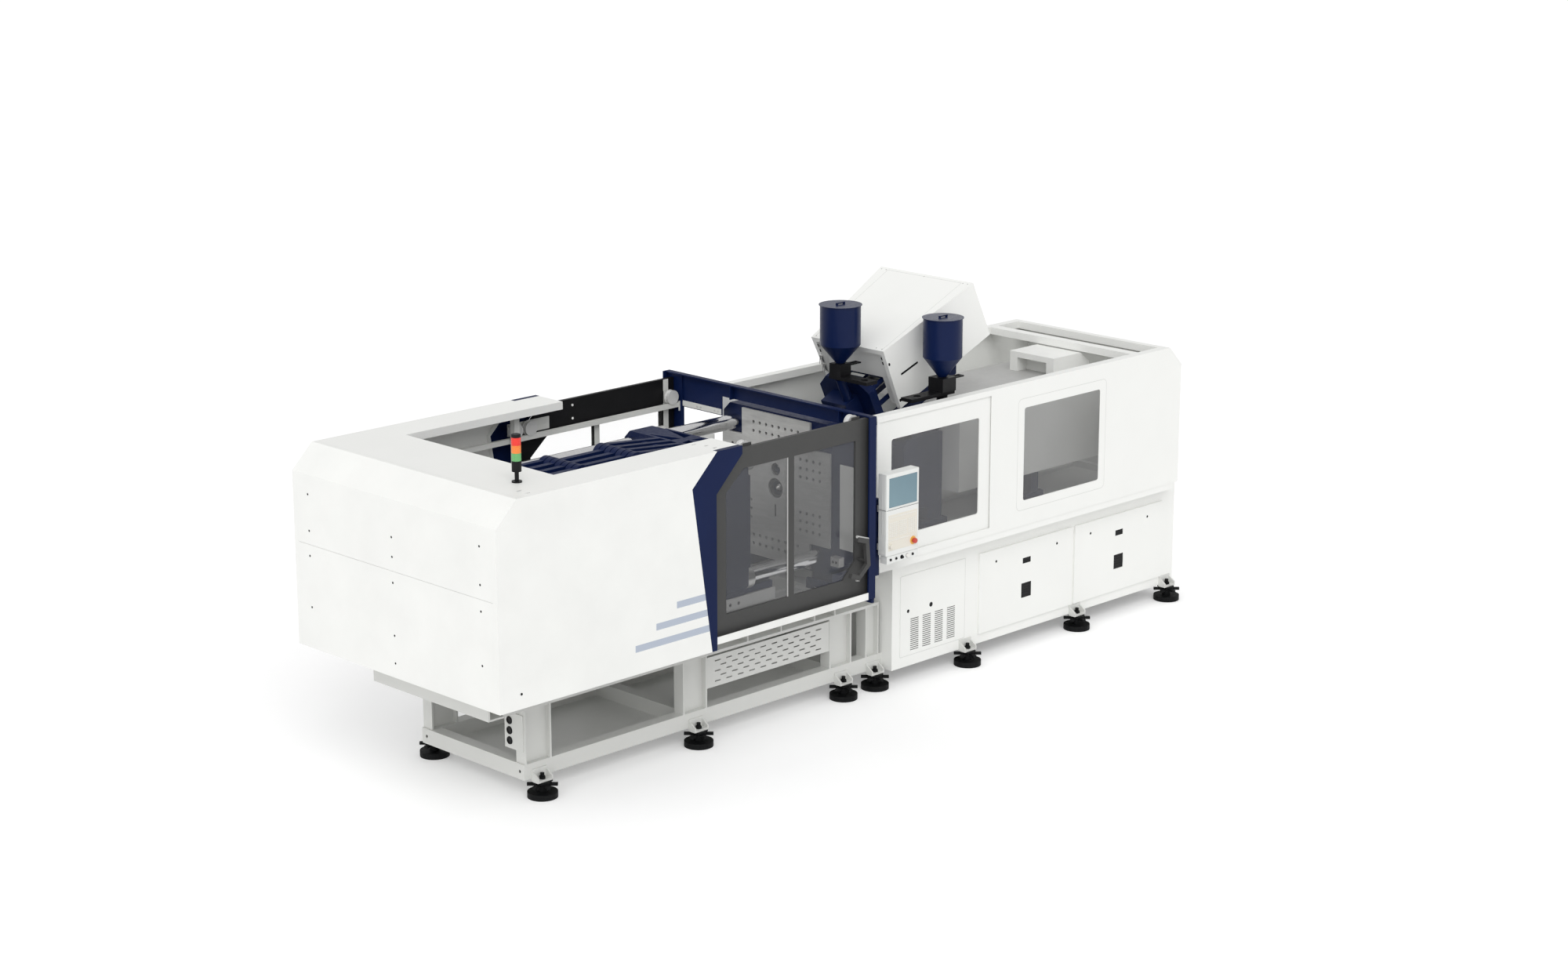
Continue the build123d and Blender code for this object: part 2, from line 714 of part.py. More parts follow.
# Moving platen: die plate with pocketed rim, arms back to the toggle pivot and slide shoes
pivot_a = pivot_c + link_length
pivot_b = pivot_c + 2 * link_length
moving_back = moving_face - moving_depth
with BuildPart() as moving_platen:
    square = (axis_z - moving_half, axis_z + moving_half)
    block((moving_back, moving_face), (-moving_half, moving_half), square)
    chamfer(moving_platen.edges().filter_by(Axis.X), length=60.0)
    for level in (-1, 1):
        rim = axis_z + level * moving_half
        pocket_z = (min(rim, rim - level * 120.0), max(rim, rim - level * 120.0))
        for corner in ((-1, -1), (-1, 1), (1, -1), (1, 1)):
            inner_x = moving_back + 126.0 + corner[0] * 14.0
            outer_x = moving_back + 126.0 + corner[0] * 100.0
            triangle = [
                (inner_x, corner[1] * 40.0),
                (outer_x, corner[1] * 60.0),
                (outer_x, corner[1] * 320.0),
            ]
            deck_profile(triangle, pocket_z, Mode.SUBTRACT)
    relief_x = (moving_face - moving_relief, moving_face + 1.0)
    for level in (-1, 1):
        edge_z = (axis_z + level * moving_cross, axis_z + level * (moving_half + 1.0))
        for side in (-1, 1):
            edge_y = (side * moving_cross, side * (moving_half + 1.0))
            block(relief_x, (min(edge_y), max(edge_y)), (min(edge_z), max(edge_z)), Mode.SUBTRACT)
    for level in (-1, 1):
        pivot_z = axis_z + level * pivot_half
        for lane in rear_lanes:
            lane_y = (lane - lane_width / 2, lane + lane_width / 2)
            side_profile(
                [
                    (pivot_b - 20.0, pivot_z + level * (lobe_radius - 3.0)),
                    (moving_back + 5.0, pivot_z + level * (moving_half - pivot_half)),
                    (moving_back + 5.0, pivot_z - level * 190.0),
                    (pivot_b + 10.0, pivot_z - level * (lobe_radius - 2.0)),
                ],
                lane_y,
            )
            side_disc(pivot_b, pivot_z, lobe_radius, lane_y)
        side_disc(pivot_b, pivot_z, pin_radius + run_fit, (-4 * lane_pitch, 4 * lane_pitch), Mode.SUBTRACT)
        tie_y = 3 * lane_pitch + lane_width / 2
        brace_z = (pivot_z - 30.0, pivot_z + 30.0)
        block((moving_back - 200.0, moving_back - 160.0), (-tie_y, tie_y), brace_z)
    for side in (-1, 1):
        shoe_y = (side * 454.0 - 60.0, side * 454.0 + 60.0)
        block((moving_back - 60.0, moving_face - 20.0), shoe_y, (way_top + seam, axis_z - moving_half + 40.0))
    long_rods(tie_centres, tie_radius + run_fit, (moving_back - 1, moving_face + 1), Mode.SUBTRACT)
    long_rods([(0, axis_z)], ejector_rod + 0.1, (moving_back - 1, moving_face + 1), Mode.SUBTRACT)
    with BuildSketch(Plane.YZ.offset(moving_face - mid)):
        for level in (-1, 1):
            for side in (-1, 1):
                with Locations((side * (bolt_first_y + 0.5 * bolt_pitch), axis_z + level * (bolt_row_z + bolt_pitch / 2))):
                    with GridLocations(bolt_pitch, bolt_pitch, 2, 2):
                        Circle(bolt_radius)
    extrude(amount=-bolt_depth, mode=Mode.SUBTRACT)
finish(moving_platen, "moving_platen")

# Guide bushes of the moving platen and its toggle pins
with BuildPart() as bushes_and_pins:
    bush_x = (moving_face - moving_relief, moving_face + bush_length)
    long_rods(tie_centres, bush_radius, bush_x)
    long_rods(tie_centres, tie_radius + run_fit, (bush_x[0] - 1, bush_x[1] + 1), Mode.SUBTRACT)
    span_b = (-3 * lane_pitch - lane_width / 2 - 8.0, 3 * lane_pitch + lane_width / 2 + 8.0)
    for level in (-1, 1):
        side_disc(pivot_b, axis_z + level * pivot_half, pin_radius, span_b)
finish(bushes_and_pins, "bushes_and_pins")

# Toggle links: four rear beams and three front beams to each set, and their pins
drive_dx = drive_radius * cos(radians(drive_angle))
drive_dz = drive_radius * sin(radians(drive_angle))
for level, word in ((1, "upper"), (-1, "lower")):
    pivot_z = axis_z + level * pivot_half
    with BuildPart() as rear_links:
        for lane in rear_lanes:
            lane_y = (lane - lane_width / 2, lane + lane_width / 2)
            side_profile(
                [
                    (pivot_c, pivot_z - 58.0),
                    (pivot_a, pivot_z - 58.0),
                    (pivot_a, pivot_z + 58.0),
                    (pivot_c, pivot_z + 58.0),
                ],
                lane_y,
            )
            side_disc(pivot_c, pivot_z, lobe_radius, lane_y)
            side_disc(pivot_a, pivot_z, lobe_radius, lane_y)
            side_disc(pivot_c + drive_dx, pivot_z - level * drive_dz, drive_lobe, lane_y)
            side_disc(pivot_c, pivot_z, pin_radius + run_fit, lane_y, Mode.SUBTRACT)
            side_disc(pivot_a, pivot_z, pin_radius, lane_y, Mode.SUBTRACT)
        reach = 3 * lane_pitch + lane_width / 2
        side_disc(pivot_a, pivot_z, pin_radius, (-reach - 8.0, reach + 8.0))
        for hand in (-1, 1):
            pin_ends = (hand * (lane_pitch + 5.0), hand * (3 * lane_pitch - 5.0))
            side_disc(
                pivot_c + drive_dx, pivot_z - level * drive_dz, drive_pin, (min(pin_ends), max(pin_ends))
            )
    finish(rear_links, "rear_links_" + word)

    with BuildPart() as front_links:
        for lane in front_lanes:
            lane_y = (lane - lane_width / 2, lane + lane_width / 2)
            side_profile(
                [
                    (pivot_a, pivot_z - 52.0),
                    (pivot_b, pivot_z - 52.0),
                    (pivot_b, pivot_z + 52.0),
                    (pivot_a, pivot_z + 52.0),
                ],
                lane_y,
            )
            side_disc(pivot_a, pivot_z, lobe_radius, lane_y)
            side_disc(pivot_b, pivot_z, lobe_radius, lane_y)
            side_disc(pivot_a, pivot_z, pin_radius + run_fit, lane_y, Mode.SUBTRACT)
            side_disc(pivot_b, pivot_z, pin_radius + run_fit, lane_y, Mode.SUBTRACT)
    finish(front_links, "front_links_" + word)

    cross_e = pivot_c + 2 * drive_dx
    with BuildPart() as drive_links:
        for hand in (-1, 1):
            lane = hand * 2 * lane_pitch
            lane_y = (lane - drive_link_thick / 2, lane + drive_link_thick / 2)
            direction_x = drive_dx / drive_radius
            direction_z = -level * drive_dz / drive_radius
            d_x = pivot_c + drive_dx
            d_z = pivot_z - level * drive_dz
            n_x = -direction_z * 24.0
            n_z = -direction_x * 24.0
            side_profile(
                [
                    (d_x - n_x, d_z + n_z),
                    (cross_e - n_x, pivot_z + n_z),
                    (cross_e + n_x, pivot_z - n_z),
                    (d_x + n_x, d_z - n_z),
                ],
                lane_y,
            )
            side_disc(d_x, d_z, crosshead_half, lane_y)
            side_disc(cross_e, pivot_z, crosshead_half, lane_y)
            side_disc(d_x, d_z, drive_pin + run_fit, lane_y, Mode.SUBTRACT)
            side_disc(cross_e, pivot_z, drive_pin + run_fit, lane_y, Mode.SUBTRACT)
    finish(drive_links, "drive_links_" + word)

# Crosshead: two forked uprights, a hub for the screw and two guided ends
cheek_out = lane_width / 2
with BuildPart() as crosshead:
    hub_x = (cross_e - 45.0, cross_e + 45.0)
    block(hub_x, (-guide_y - 50.0, guide_y + 50.0), (axis_z - hub_half, axis_z + hub_half))
    for hand in (-1, 1):
        lane = hand * 2 * lane_pitch
        for cheek in (-1, 1):
            cheek_y = lane + cheek * (cheek_out - cheek_thick / 2)
            span = (cheek_y - cheek_thick / 2, cheek_y + cheek_thick / 2)
            block((cross_e - 32.0, cross_e + 36.0), span, (axis_z - pivot_half, axis_z + pivot_half))
            for level in (-1, 1):
                side_disc(cross_e, axis_z + level * pivot_half, crosshead_half, span)
        web = (lane - cheek_out, lane + cheek_out)
        block((cross_e - 20.0, cross_e + 36.0), web, (axis_z - 230.0, axis_z + 230.0))
        for level in (-1, 1):
            side_disc(cross_e, axis_z + level * pivot_half, drive_pin, web)
    long_rods([(0, axis_z)], screw_radius + run_fit, (hub_x[0] - 1, hub_x[1] + 1), Mode.SUBTRACT)
    guides = [(-guide_y, axis_z), (guide_y, axis_z)]
    long_rods(guides, guide_radius + run_fit, (hub_x[0] - 1, hub_x[1] + 1), Mode.SUBTRACT)
finish(crosshead, "crosshead")

# Ball screw with its pulley, turning in the end platen
with BuildPart() as ball_screw:
    long_rods([(0, axis_z)], screw_radius, (tie_start - 60.0, screw_end))
    long_rods([(0, axis_z)], 150.0, (tie_start - 60.0, tie_start))
finish(ball_screw, "ball_screw")

# Fixed side of the clamp drive: bearing flange, guide rods, motor on the end platen
with BuildPart() as clamp_drive:
    long_rods([(0, axis_z)], 120.0, (end_platen_x - 70.0, end_platen_x))
    long_rods([(0, axis_z)], screw_radius + 0.5, (end_platen_x - 71.0, end_platen_x + 1), Mode.SUBTRACT)
    block((end_platen_x - 190.0, end_platen_x), (-140.0, 140.0), (axis_z - 560.0, axis_z - 190.0))
    long_rods(guides, guide_radius, (end_face, screw_end))
finish(clamp_drive, "clamp_drive")

# Ejector plate and rod in the moving platen
with BuildPart() as ejector_plate:
    plate_z = (axis_z - ejector_half, axis_z + ejector_half)
    block((ejector_x, ejector_x + ejector_thick), (-ejector_half, ejector_half), plate_z)
    long_rods([(0, axis_z)], ejector_rod, (ejector_x, ejector_tip - ejector_stroke))
finish(ejector_plate, "ejector_plate")

# End panels of the clamp guard, bent over the top slope, and the side covers:
# shallow trays with a folded edge
slope_foot = guard_top - slope_drop
cover_outline = [
    (0.0, guard_bottom),
    (trim_foot, guard_bottom),
    (trim_knee_x, trim_knee_z),
    (trim_head, guard_top),
    (slope_run, guard_top),
    (0.0, slope_foot),
]
panel_y = (-(cover_half - cover_depth - seam), cover_half - cover_depth - seam)
with BuildPart() as clamp_covers:
    top_run = slope_run + end_plate_run
    side_profile(
        [
            (0.0, panel_seam_z + 1.0),
            (0.0, slope_foot),
            (slope_run, guard_top),
            (top_run, guard_top),
            (top_run, guard_top - skin),
            (slope_run + 1.2, guard_top - skin),
            (skin, slope_foot - 1.2),
            (skin, panel_seam_z + 1.0),
        ],
        panel_y,
    )
    side_profile(
        [
            (0.0, guard_bottom),
            (0.0, panel_seam_z - 1.0),
            (skin, panel_seam_z - 1.0),
            (skin, guard_bottom + skin),
            (294.0 - seam, guard_bottom + skin),
            (294.0 - seam, guard_bottom),
        ],
        panel_y,
    )
    for side in (-1, 1):
        near = side * (cover_half - cover_depth)
        far = side * cover_half
        tray_y = (min(near, far), max(near, far))
        side_profile(cover_outline, tray_y)
        inner = side * (cover_half - skin)
        cavity_y = (min(near, inner), max(near, inner))
        side_profile(cover_outline, cavity_y, Mode.SUBTRACT, inset=skin)
finish(clamp_covers, "clamp_covers")

# Navy trims beside the doors
trim_outline = [
    (trim_foot + 1.0, guard_bottom),
    (trim_foot + trim_foot_width, guard_bottom),
    (trim_foot + trim_foot_width, trim_step_z),
    (trim_head + trim_head_width, trim_step_z + trim_step_rise),
    (trim_head + trim_head_width, guard_top),
    (trim_head + 1.0, guard_top),
    (trim_knee_x + 1.0, trim_knee_z),
]

# Top cover: full width over the end platen, then a strip along each side
with BuildPart() as top_cover:
    plate_start = slope_run + end_plate_run + 2.0
    side_y = cover_half - cover_depth - seam
    deck_profile(
        [
            (plate_start, -side_y),
            (strip_end, -side_y),
            (strip_end, -opening_half),
            (opening_start, -opening_half),
            (opening_start, opening_half),
            (strip_end, opening_half),
            (strip_end, side_y),
            (plate_start, side_y),
        ],
        (guard_top - skin, guard_top),
    )
    fold_z = (guard_top - opening_fold, guard_top)
    block((opening_start - skin, opening_start), (-opening_half, opening_half), fold_z)
    for side in (-1, 1):
        fold_y = (min(side * opening_half, side * (opening_half + skin)), max(side * opening_half, side * (opening_half + skin)))
        block((opening_start - skin, strip_end), fold_y, fold_z)
    slot_places = ((341.0, -983.0), (340.0, -1070.0), (2067.0, -871.0), (2107.0, -960.0), (2111.0, -1046.0))
    for slot_x, slot_y in slot_places:
        block((slot_x - 22, slot_x + 22), (slot_y - 6, slot_y + 6), (guard_top - 10, guard_top + 1), Mode.SUBTRACT)
finish(top_cover, "top_cover")

# Signal tower: foot, stem, body and cap, with three lenses between
lens_height = 55.0
lens_start = guard_top + 152.0
with BuildPart() as signal_tower:
    here = [(tower_x, tower_y)]
    upright_rods(here, 36.0, (guard_top, guard_top + 10.0))
    upright_rods(here, 15.0, (guard_top + 10.0, guard_top + 77.0))
    upright_rods(here, tower_radius, (guard_top + 77.0, lens_start))
    upright_rods(here, tower_radius, (lens_start + 3 * lens_height, lens_start + 3 * lens_height + 23.0))
    fillet(signal_tower.faces().sort_by(Axis.Z)[-1].edges(), radius=8.0)
finish(signal_tower, "signal_tower")
with BuildPart() as signal_lenses:
    for index in range(3):
        start = lens_start + index * lens_height
        upright_rods([(tower_x, tower_y)], tower_radius, (start + seam / 2, start + lens_height - seam / 2))
finish(signal_lenses, "signal_lenses")

# Portal beam with its front post, stiffeners and the arm of the operator panel
portal_y = cover_half
with BuildPart() as portal_frame:
    beam = (portal_x, portal_x + portal_width)
    block(beam, (-portal_y, portal_y), (portal_top - 10.0, portal_top))
    block((portal_x + portal_width - 10.0, portal_x + portal_width), (-portal_y, portal_y), (portal_top - portal_web, portal_top))
    for rib_y in (-790.0, 392.0):
        block(beam, (rib_y - 5.0, rib_y + 5.0), (portal_top - portal_web, portal_top))
    for side in (-1, 1):
        front_y = (side * cover_half, side * (cover_half - 12.0))
        block((post_left, post_left + post_width), (min(front_y), max(front_y)), (sill_foot, portal_top))
        inner_y = (side * cover_half, side * (door_back - 90.0))
        block((door_right + 6.0, portal_x + portal_width), (min(inner_y), max(inner_y)), (sill_foot, portal_top))
        base_y = (side * 454.0, side * (cover_half - 12.0))
        block((door_right + 6.0, portal_x + portal_width), (min(base_y), max(base_y)), (sill_foot - 40.0, sill_foot + 20.0))
        block((door_right + 6.0, portal_x + portal_width), (side * 454.0 - 30, side * 454.0 + 30), (beam_top, sill_foot + 20.0))
    column_x = (hinge_x - column_width / 2, hinge_x + column_width / 2)
    arm_y = (hinge_y + hinge_knuckle + 1.0, hinge_y + 40.0)
    arm_x = (portal_x + portal_width + seam, column_x[1])
    block(column_x, (arm_y[0], hinge_y + 45.0), (1138.0, 1698.0))
    block(arm_x, arm_y, (1090.0, 1138.0))
    block(arm_x, arm_y, (1640.0, 1690.0))
    for level in hinge_levels:
        lug_y = (hinge_y - hinge_knuckle, arm_y[0] + 4.0)
        lug_x = (hinge_x - hinge_knuckle, hinge_x + hinge_knuckle)
        block(lug_x, lug_y, (level - 12.0, level - seam))
        upright_rods([(hinge_x, hinge_y)], hinge_pin, (level - 12.0, level + hinge_height + 6.0))
    for side in (-1, 1):
        near = side * (cover_half - cover_depth)
        far = side * cover_half
        tray_y = (min(near, far), max(near, far))
        side_profile(trim_outline, tray_y)
        inner = side * (cover_half - skin)
        cavity_y = (min(near, inner), max(near, inner))
        side_profile(trim_outline, cavity_y, Mode.SUBTRACT, inset=skin)
finish(portal_frame, "portal_and_trims")

# Door rails and the sills under the doors
rail_end = door_right + 6.0 - seam
with BuildPart() as door_tracks:
    for side, top in ((-1, front_rail_top), (1, rear_rail_top)):
        track_y = (side * rail_y - rail_width / 2, side * rail_y + rail_width / 2)
        block((rail_start, rail_end), track_y, (top - rail_depth, top))
        arm_y = (side * (rail_y - rail_width / 2), side * (rail_y - rail_width / 2 - post_set_back + seam))
        block((1905.0, 1945.0), (min(arm_y), max(arm_y)), (top - rail_depth, top - 15.0))
    for side in (-1, 1):
        sill_x = (trim_foot + trim_foot_width + 1.0, post_left - seam)
        outer = side * cover_half
        inner = side * (cover_half - sill_depth)
        block(sill_x, (min(outer, inner), max(outer, inner)), (sill_foot, sill_foot + 5.0))
        lip_y = (outer, side * (cover_half - 5.0))
        block(sill_x, (min(lip_y), max(lip_y)), (sill_foot, sill_head))
        inner_lip = (inner, side * (cover_half - sill_depth + 5.0))
        block(sill_x, (min(inner_lip), max(inner_lip)), (sill_foot - 30.0, sill_head - 15.0))
finish(door_tracks, "door_tracks")

# Sliding doors: frame with rebated windows, panes, axle stubs and rollers
front_outline = [
    (door_left, door_bottom),
    (door_right, door_bottom),
    (door_right, door_top),
    (door_left + door_slant, door_top),
    (door_left + door_slant, door_top - 20.0),
    (door_left, door_top - 275.0),
]
window_left = [
    (left_window_x, window_foot),
    (mullion_x, window_foot),
    (mullion_x, window_head),
    (left_window_x + 180.0, window_head),
    (left_window_x, window_head - 153.0),
]
window_right = [
    (mullion_x + mullion_width, window_foot),
    (right_window_end - window_cut, window_foot),
    (right_window_end, window_foot + window_cut),
    (right_window_end, window_head),
    (mullion_x + mullion_width, window_head),
]
rear_left = [
    (left_window_x, window_foot),
    (mullion_x, window_foot),
    (mullion_x, rear_window_head),
    (left_window_x + 180.0, rear_window_head),
    (left_window_x, rear_window_head - 153.0),
]
rear_right = [
    (mullion_x + mullion_width, window_foot),
    (right_window_end - window_cut, window_foot),
    (right_window_end, window_foot + window_cut),
    (right_window_end, rear_window_head),
    (mullion_x + mullion_width, rear_window_head),
]
rear_outline = [
    (door_left, door_bottom),
    (door_right, door_bottom),
    (door_right, rear_door_top),
    (door_left + door_slant, rear_door_top),
    (door_left, rear_door_top - 250.0),
]
doors = (
    (-1, "front", front_outline, (window_left, window_right), front_roller_stations, front_rail_top),
    (1, "rear", rear_outline, (rear_left, rear_right), rear_roller_stations, rear_rail_top),
)
for side, word, outline, windows, stations, rail_top in doors:
    if word == "front":
        hanger_spans = [(s - 40.0, s + 40.0) for s in stations]
    else:
        hanger_spans = [(stations[0] - 40.0, door_left + door_slant + 60.0), (stations[2] - 40.0, stations[2] + 40.0)]
    door_y = (min(side * door_face, side * door_back), max(side * door_face, side * door_back))
    rebate_near = side * door_back
    rebate_far = side * (door_back + 20.0)
    rebate_y = (min(rebate_near, rebate_far), max(rebate_near, rebate_far))
    axle_z = rail_top + roller_radius + seam
    with BuildPart() as door_frame:
        side_profile(outline, door_y)
        for window in windows:
            side_profile(window, door_y, Mode.SUBTRACT)
            side_profile(window, rebate_y, Mode.SUBTRACT, inset=-rebate)
    finish(door_frame, word + "_door_frame")

    with BuildPart() as door_panes:
        pane_y = (rebate_far, rebate_far - side * pane_thick)
        for window in windows:
            side_profile(window, (min(pane_y), max(pane_y)), inset=-(rebate - seam))
    finish(door_panes, word + "_door_panes")

    with BuildPart() as door_handle:
        bow_y = (side * (door_face + handle_reach), side * (door_face + handle_reach + handle_thick))
        with BuildSketch(Plane.XZ.offset(-max(bow_y))):
            with BuildLine() as bow:
                Polyline(
                    (3445.0 - mid, 1495.0),
                    (3545.0 - mid, 1463.0),
                    (3562.0 - mid, 1276.0),
                    (3460.0 - mid, 1192.0),
                    (3376.0 - mid, 1224.0),
                )
            trace(bow.line, line_width=handle_width)
        extrude(amount=handle_thick)
        for grip_x, grip_z in ((3552.0, 1440.0), (3562.0, 1300.0)):
            post_y = (side * door_face, side * (door_face + handle_reach))
            side_disc(grip_x, grip_z, 13.0, (min(post_y), max(post_y)))
        plate_out = side * (door_back - seam)
        plate_in = side * (door_back - seam - hanger_thick)
        plate_y = (min(plate_out, plate_in), max(plate_out, plate_in))
        axle_tip = side * (rail_y - rail_width / 2 - 8.0)
        stub_y = (min(plate_in, axle_tip), max(plate_in, axle_tip))
        shoulder = side * (rail_y + rail_width / 2 + 10.0)
        collar_y = (min(plate_in, shoulder), max(plate_in, shoulder))
        for first, last in hanger_spans:
            hanger_z = (axle_z - hanger_height / 2, axle_z + hanger_height / 2)
            block((first, last), plate_y, hanger_z)
        for station in stations:
            side_disc(station, axle_z, roller_bore - run_fit, stub_y)
            side_disc(station, axle_z, roller_bore + 8.0, collar_y)
    finish(door_handle, word + "_door_fittings")

    for number, station in enumerate(stations):
        with BuildPart() as roller:
            half = rail_width / 2 + 2.0
            with BuildSketch(Plane.XY.offset(axle_z)) as wheel:
                with BuildLine():
                    y_mid = side * rail_y
                    x_axis = station - mid
                    Polyline(
                        (x_axis + roller_bore, y_mid - half - 6.0),
                        (x_axis + roller_flange, y_mid - half - 6.0),
                        (x_axis + roller_flange, y_mid - half),
                        (x_axis + roller_radius, y_mid - half),
                        (x_axis + roller_radius, y_mid + half),
                        (x_axis + roller_flange, y_mid + half),
                        (x_axis + roller_flange, y_mid + half + 6.0),
                        (x_axis + roller_bore, y_mid + half + 6.0),
                        close=True,
                    )
                make_face()
            revolve(axis=Axis((station - mid, 0, axle_z), (0, 1, 0)), revolution_arc=360)
        finish(roller, word + "_roller_" + str(number + 1))

# Injection base: welded cabinet with a raised deck
with BuildPart() as injection_base:
    block((injection_start, machine_length), (-base_half, base_half), (base_low, base_top))
    inner_x = (injection_start + base_wall, machine_length - base_wall)
    inner_y = base_half - base_wall
    block(inner_x, (-inner_y, inner_y), (base_low, base_top - 20.0), Mode.SUBTRACT)
    for side in (-1, 1):
        rail_span = (side * deck_rail_y - deck_rail / 2, side * deck_rail_y + deck_rail / 2)
        block((injection_start + 200.0, machine_length - 250.0), rail_span, (base_top + seam, base_top + deck_rail))
finish(injection_base, "injection_base")

# Lift-off cabinet panels on both sides, with grip holes, and the louvred panel
with BuildPart() as cabinet_panels:
    for side in (-1, 1):
        near = side * base_half
        far = side * (base_half + panel_proud)
        tray = (min(near, far), max(near, far))
        for span in (panel_one, panel_two):
            block(span, tray, (panel_low, panel_low + panel_high))
            cavity = (min(near, far - side * skin), max(near, far - side * skin))
            inner_span = (span[0] + skin, span[1] - skin)
            block(inner_span, cavity, (panel_low + skin, panel_low + panel_high - skin), Mode.SUBTRACT)
            cut = (min(near, far) - 1, max(near, far) + 1)
            latch = span[0] + 533.0
            block((latch, latch + 101.0), cut, (703.0, 751.0), Mode.SUBTRACT)
            block((latch - 12.0, latch + 112.0), cut, (411.0, 536.0), Mode.SUBTRACT)
            for lock_x in (span[0] + 202.0, span[1] - 204.0):
                side_disc(lock_x, panel_low + panel_high - 101.0, 11.0, cut, Mode.SUBTRACT)
    for side in (-1, 1):
        near = side * base_half
        far = side * (base_half + skin)
        sheet = (min(near, far), max(near, far))
        block(louvre_panel, sheet, (panel_low, panel_low + panel_high))
        centre_z = louvre_low + (louvre_count - 1) * louvre_pitch / 2
        with BuildSketch(Plane.XZ.offset(-sheet[1])):
            for column in louvre_columns:
                with Locations((column - mid, centre_z)):
                    with GridLocations(louvre_width, louvre_pitch, 1, louvre_count):
                        Rectangle(louvre_width, louvre_rise)
        extrude(amount=skin, mode=Mode.SUBTRACT)
        for hole_x, hole_r in ((4544.0, 15.0), (4812.0, 20.0)):
            side_disc(hole_x, 589.0, hole_r, (sheet[0] - 1, sheet[1] + 1), Mode.SUBTRACT)
finish(cabinet_panels, "cabinet_panels")

# Injection guard: sill, walls, top rails and end wall
sash_face = guard_half - guard_sheet - sash_gap
wall_out = guard_half
wall_in = guard_half - guard_sheet
sill_top = base_top + sill_band
head_low = guard_head - top_rail_height
with BuildPart() as injection_guard:
    for side in (-1, 1):
        sill_y = (side * (wall_out - 6.0), side * (base_half - 60.0))
        block((guard_left + 43.0, guard_right - 56.0), (min(sill_y), max(sill_y)), (base_top, sill_top - seam))
        wall_y = (min(side * wall_out, side * wall_in), max(side * wall_out, side * wall_in))
        right_part = [
            (sash_right, sill_top),
            (guard_right, sill_top),
            (guard_right, guard_head - guard_chamfer),
            (guard_right - guard_chamfer, guard_head),
            (sash_right, guard_head),
        ]
        if side > 0:
            right_part[0] = (guard_left, sill_top)
            right_part[4] = (guard_left, guard_head)
        side_profile(right_part, wall_y)
        if side < 0:
            with BuildSketch(Plane.XZ.offset(-wall_y[1])):
                win_w = guard_window[1] - guard_window[0]
                win_h = guard_window[3] - guard_window[2]
                with Locations((guard_window[0] + win_w / 2 - mid, guard_window[2] + win_h / 2)):
                    RectangleRounded(win_w, win_h, corner_fillet)
            extrude(amount=guard_sheet, mode=Mode.SUBTRACT)
            block((guard_left, sash_left - seam), wall_y, (sill_top, guard_head))
            block((sash_left, sash_right - seam), wall_y, (sash_high + 1.0, guard_head))
            block((sash_left, sash_right - seam), wall_y, (sill_top, sash_low - 1.0))
        rail_in = side * (guard_half - guard_sheet - top_rail_width)
        top_y = (min(side * (wall_in - seam), rail_in), max(side * (wall_in - seam), rail_in))
        rail_x = (guard_left, guard_right - guard_chamfer - 10.0)
        block(rail_x, top_y, (guard_head - 14.0, guard_head))
        down_y = (rail_in, side * (sash_face - sash_depth - 4.0))
        block(rail_x, (min(down_y), max(down_y)), (head_low, guard_head - 14.0))
        wing_y = (side * (wall_in - seam), side * (platen_half + 45.0))
        block((guard_left, guard_left + 5.0), (min(wing_y), max(wing_y)), (base_top, head_low - seam))
        shield_y = (side * 849.0, side * 695.0)
        block((fixed_face + 5.0, fixed_face + 8.0), (min(shield_y), max(shield_y)), (1260.0, 1929.0))
        block((fixed_face + 8.0, guard_left), (side * 780.0 - 15.0, side * 780.0 + 15.0), (1560.0, 1600.0))
    inner_half = guard_half - guard_sheet - top_rail_width - seam
    block((7165.0, 7260.0), (-inner_half, inner_half), (head_low, guard_head))
    block((guard_right - guard_chamfer - 70.0, guard_right - guard_chamfer - 10.0), (-inner_half, inner_half), (head_low, guard_head))
    end_y = (-(wall_in - seam), wall_in - seam)
    side_profile(
        [
            (guard_right - guard_sheet, sill_top),
            (guard_right, sill_top),
            (guard_right, guard_head - guard_chamfer),
            (guard_right - guard_chamfer, guard_head),
            (guard_right - guard_chamfer - 9.0, guard_head),
            (guard_right - guard_chamfer - 9.0, guard_head - guard_sheet),
            (guard_right - guard_chamfer - 1.7, guard_head - guard_sheet),
            (guard_right - guard_sheet, guard_head - guard_chamfer - 1.7),
        ],
        end_y,
    )
    block((guard_right - 60.0, guard_right - guard_sheet), (-base_half, base_half), (base_top, sill_top - seam))
    track_end = sash_right + sash_stroke + 45.0
    low_track = (sash_low - 12.0 - 16.0, sash_low - 12.0 - seam)
    high_track = (sash_high + 12.0 + seam, guard_head - 14.0 - seam)
    for track_z in (low_track, high_track):
        block((guard_left + 5.0 + seam, track_end), (-(wall_in - seam), -(sash_face - sash_depth)), track_z)
finish(injection_guard, "injection_guard")

with BuildPart() as guard_pane:
    with BuildSketch(Plane.XZ.offset(wall_in - seam)):
        with Locations((guard_window[0] + win_w / 2 - mid, guard_window[2] + win_h / 2)):
            RectangleRounded(win_w + 30.0, win_h + 30.0, corner_fillet + 15.0)
    extrude(amount=-4.0)
finish(guard_pane, "guard_pane")

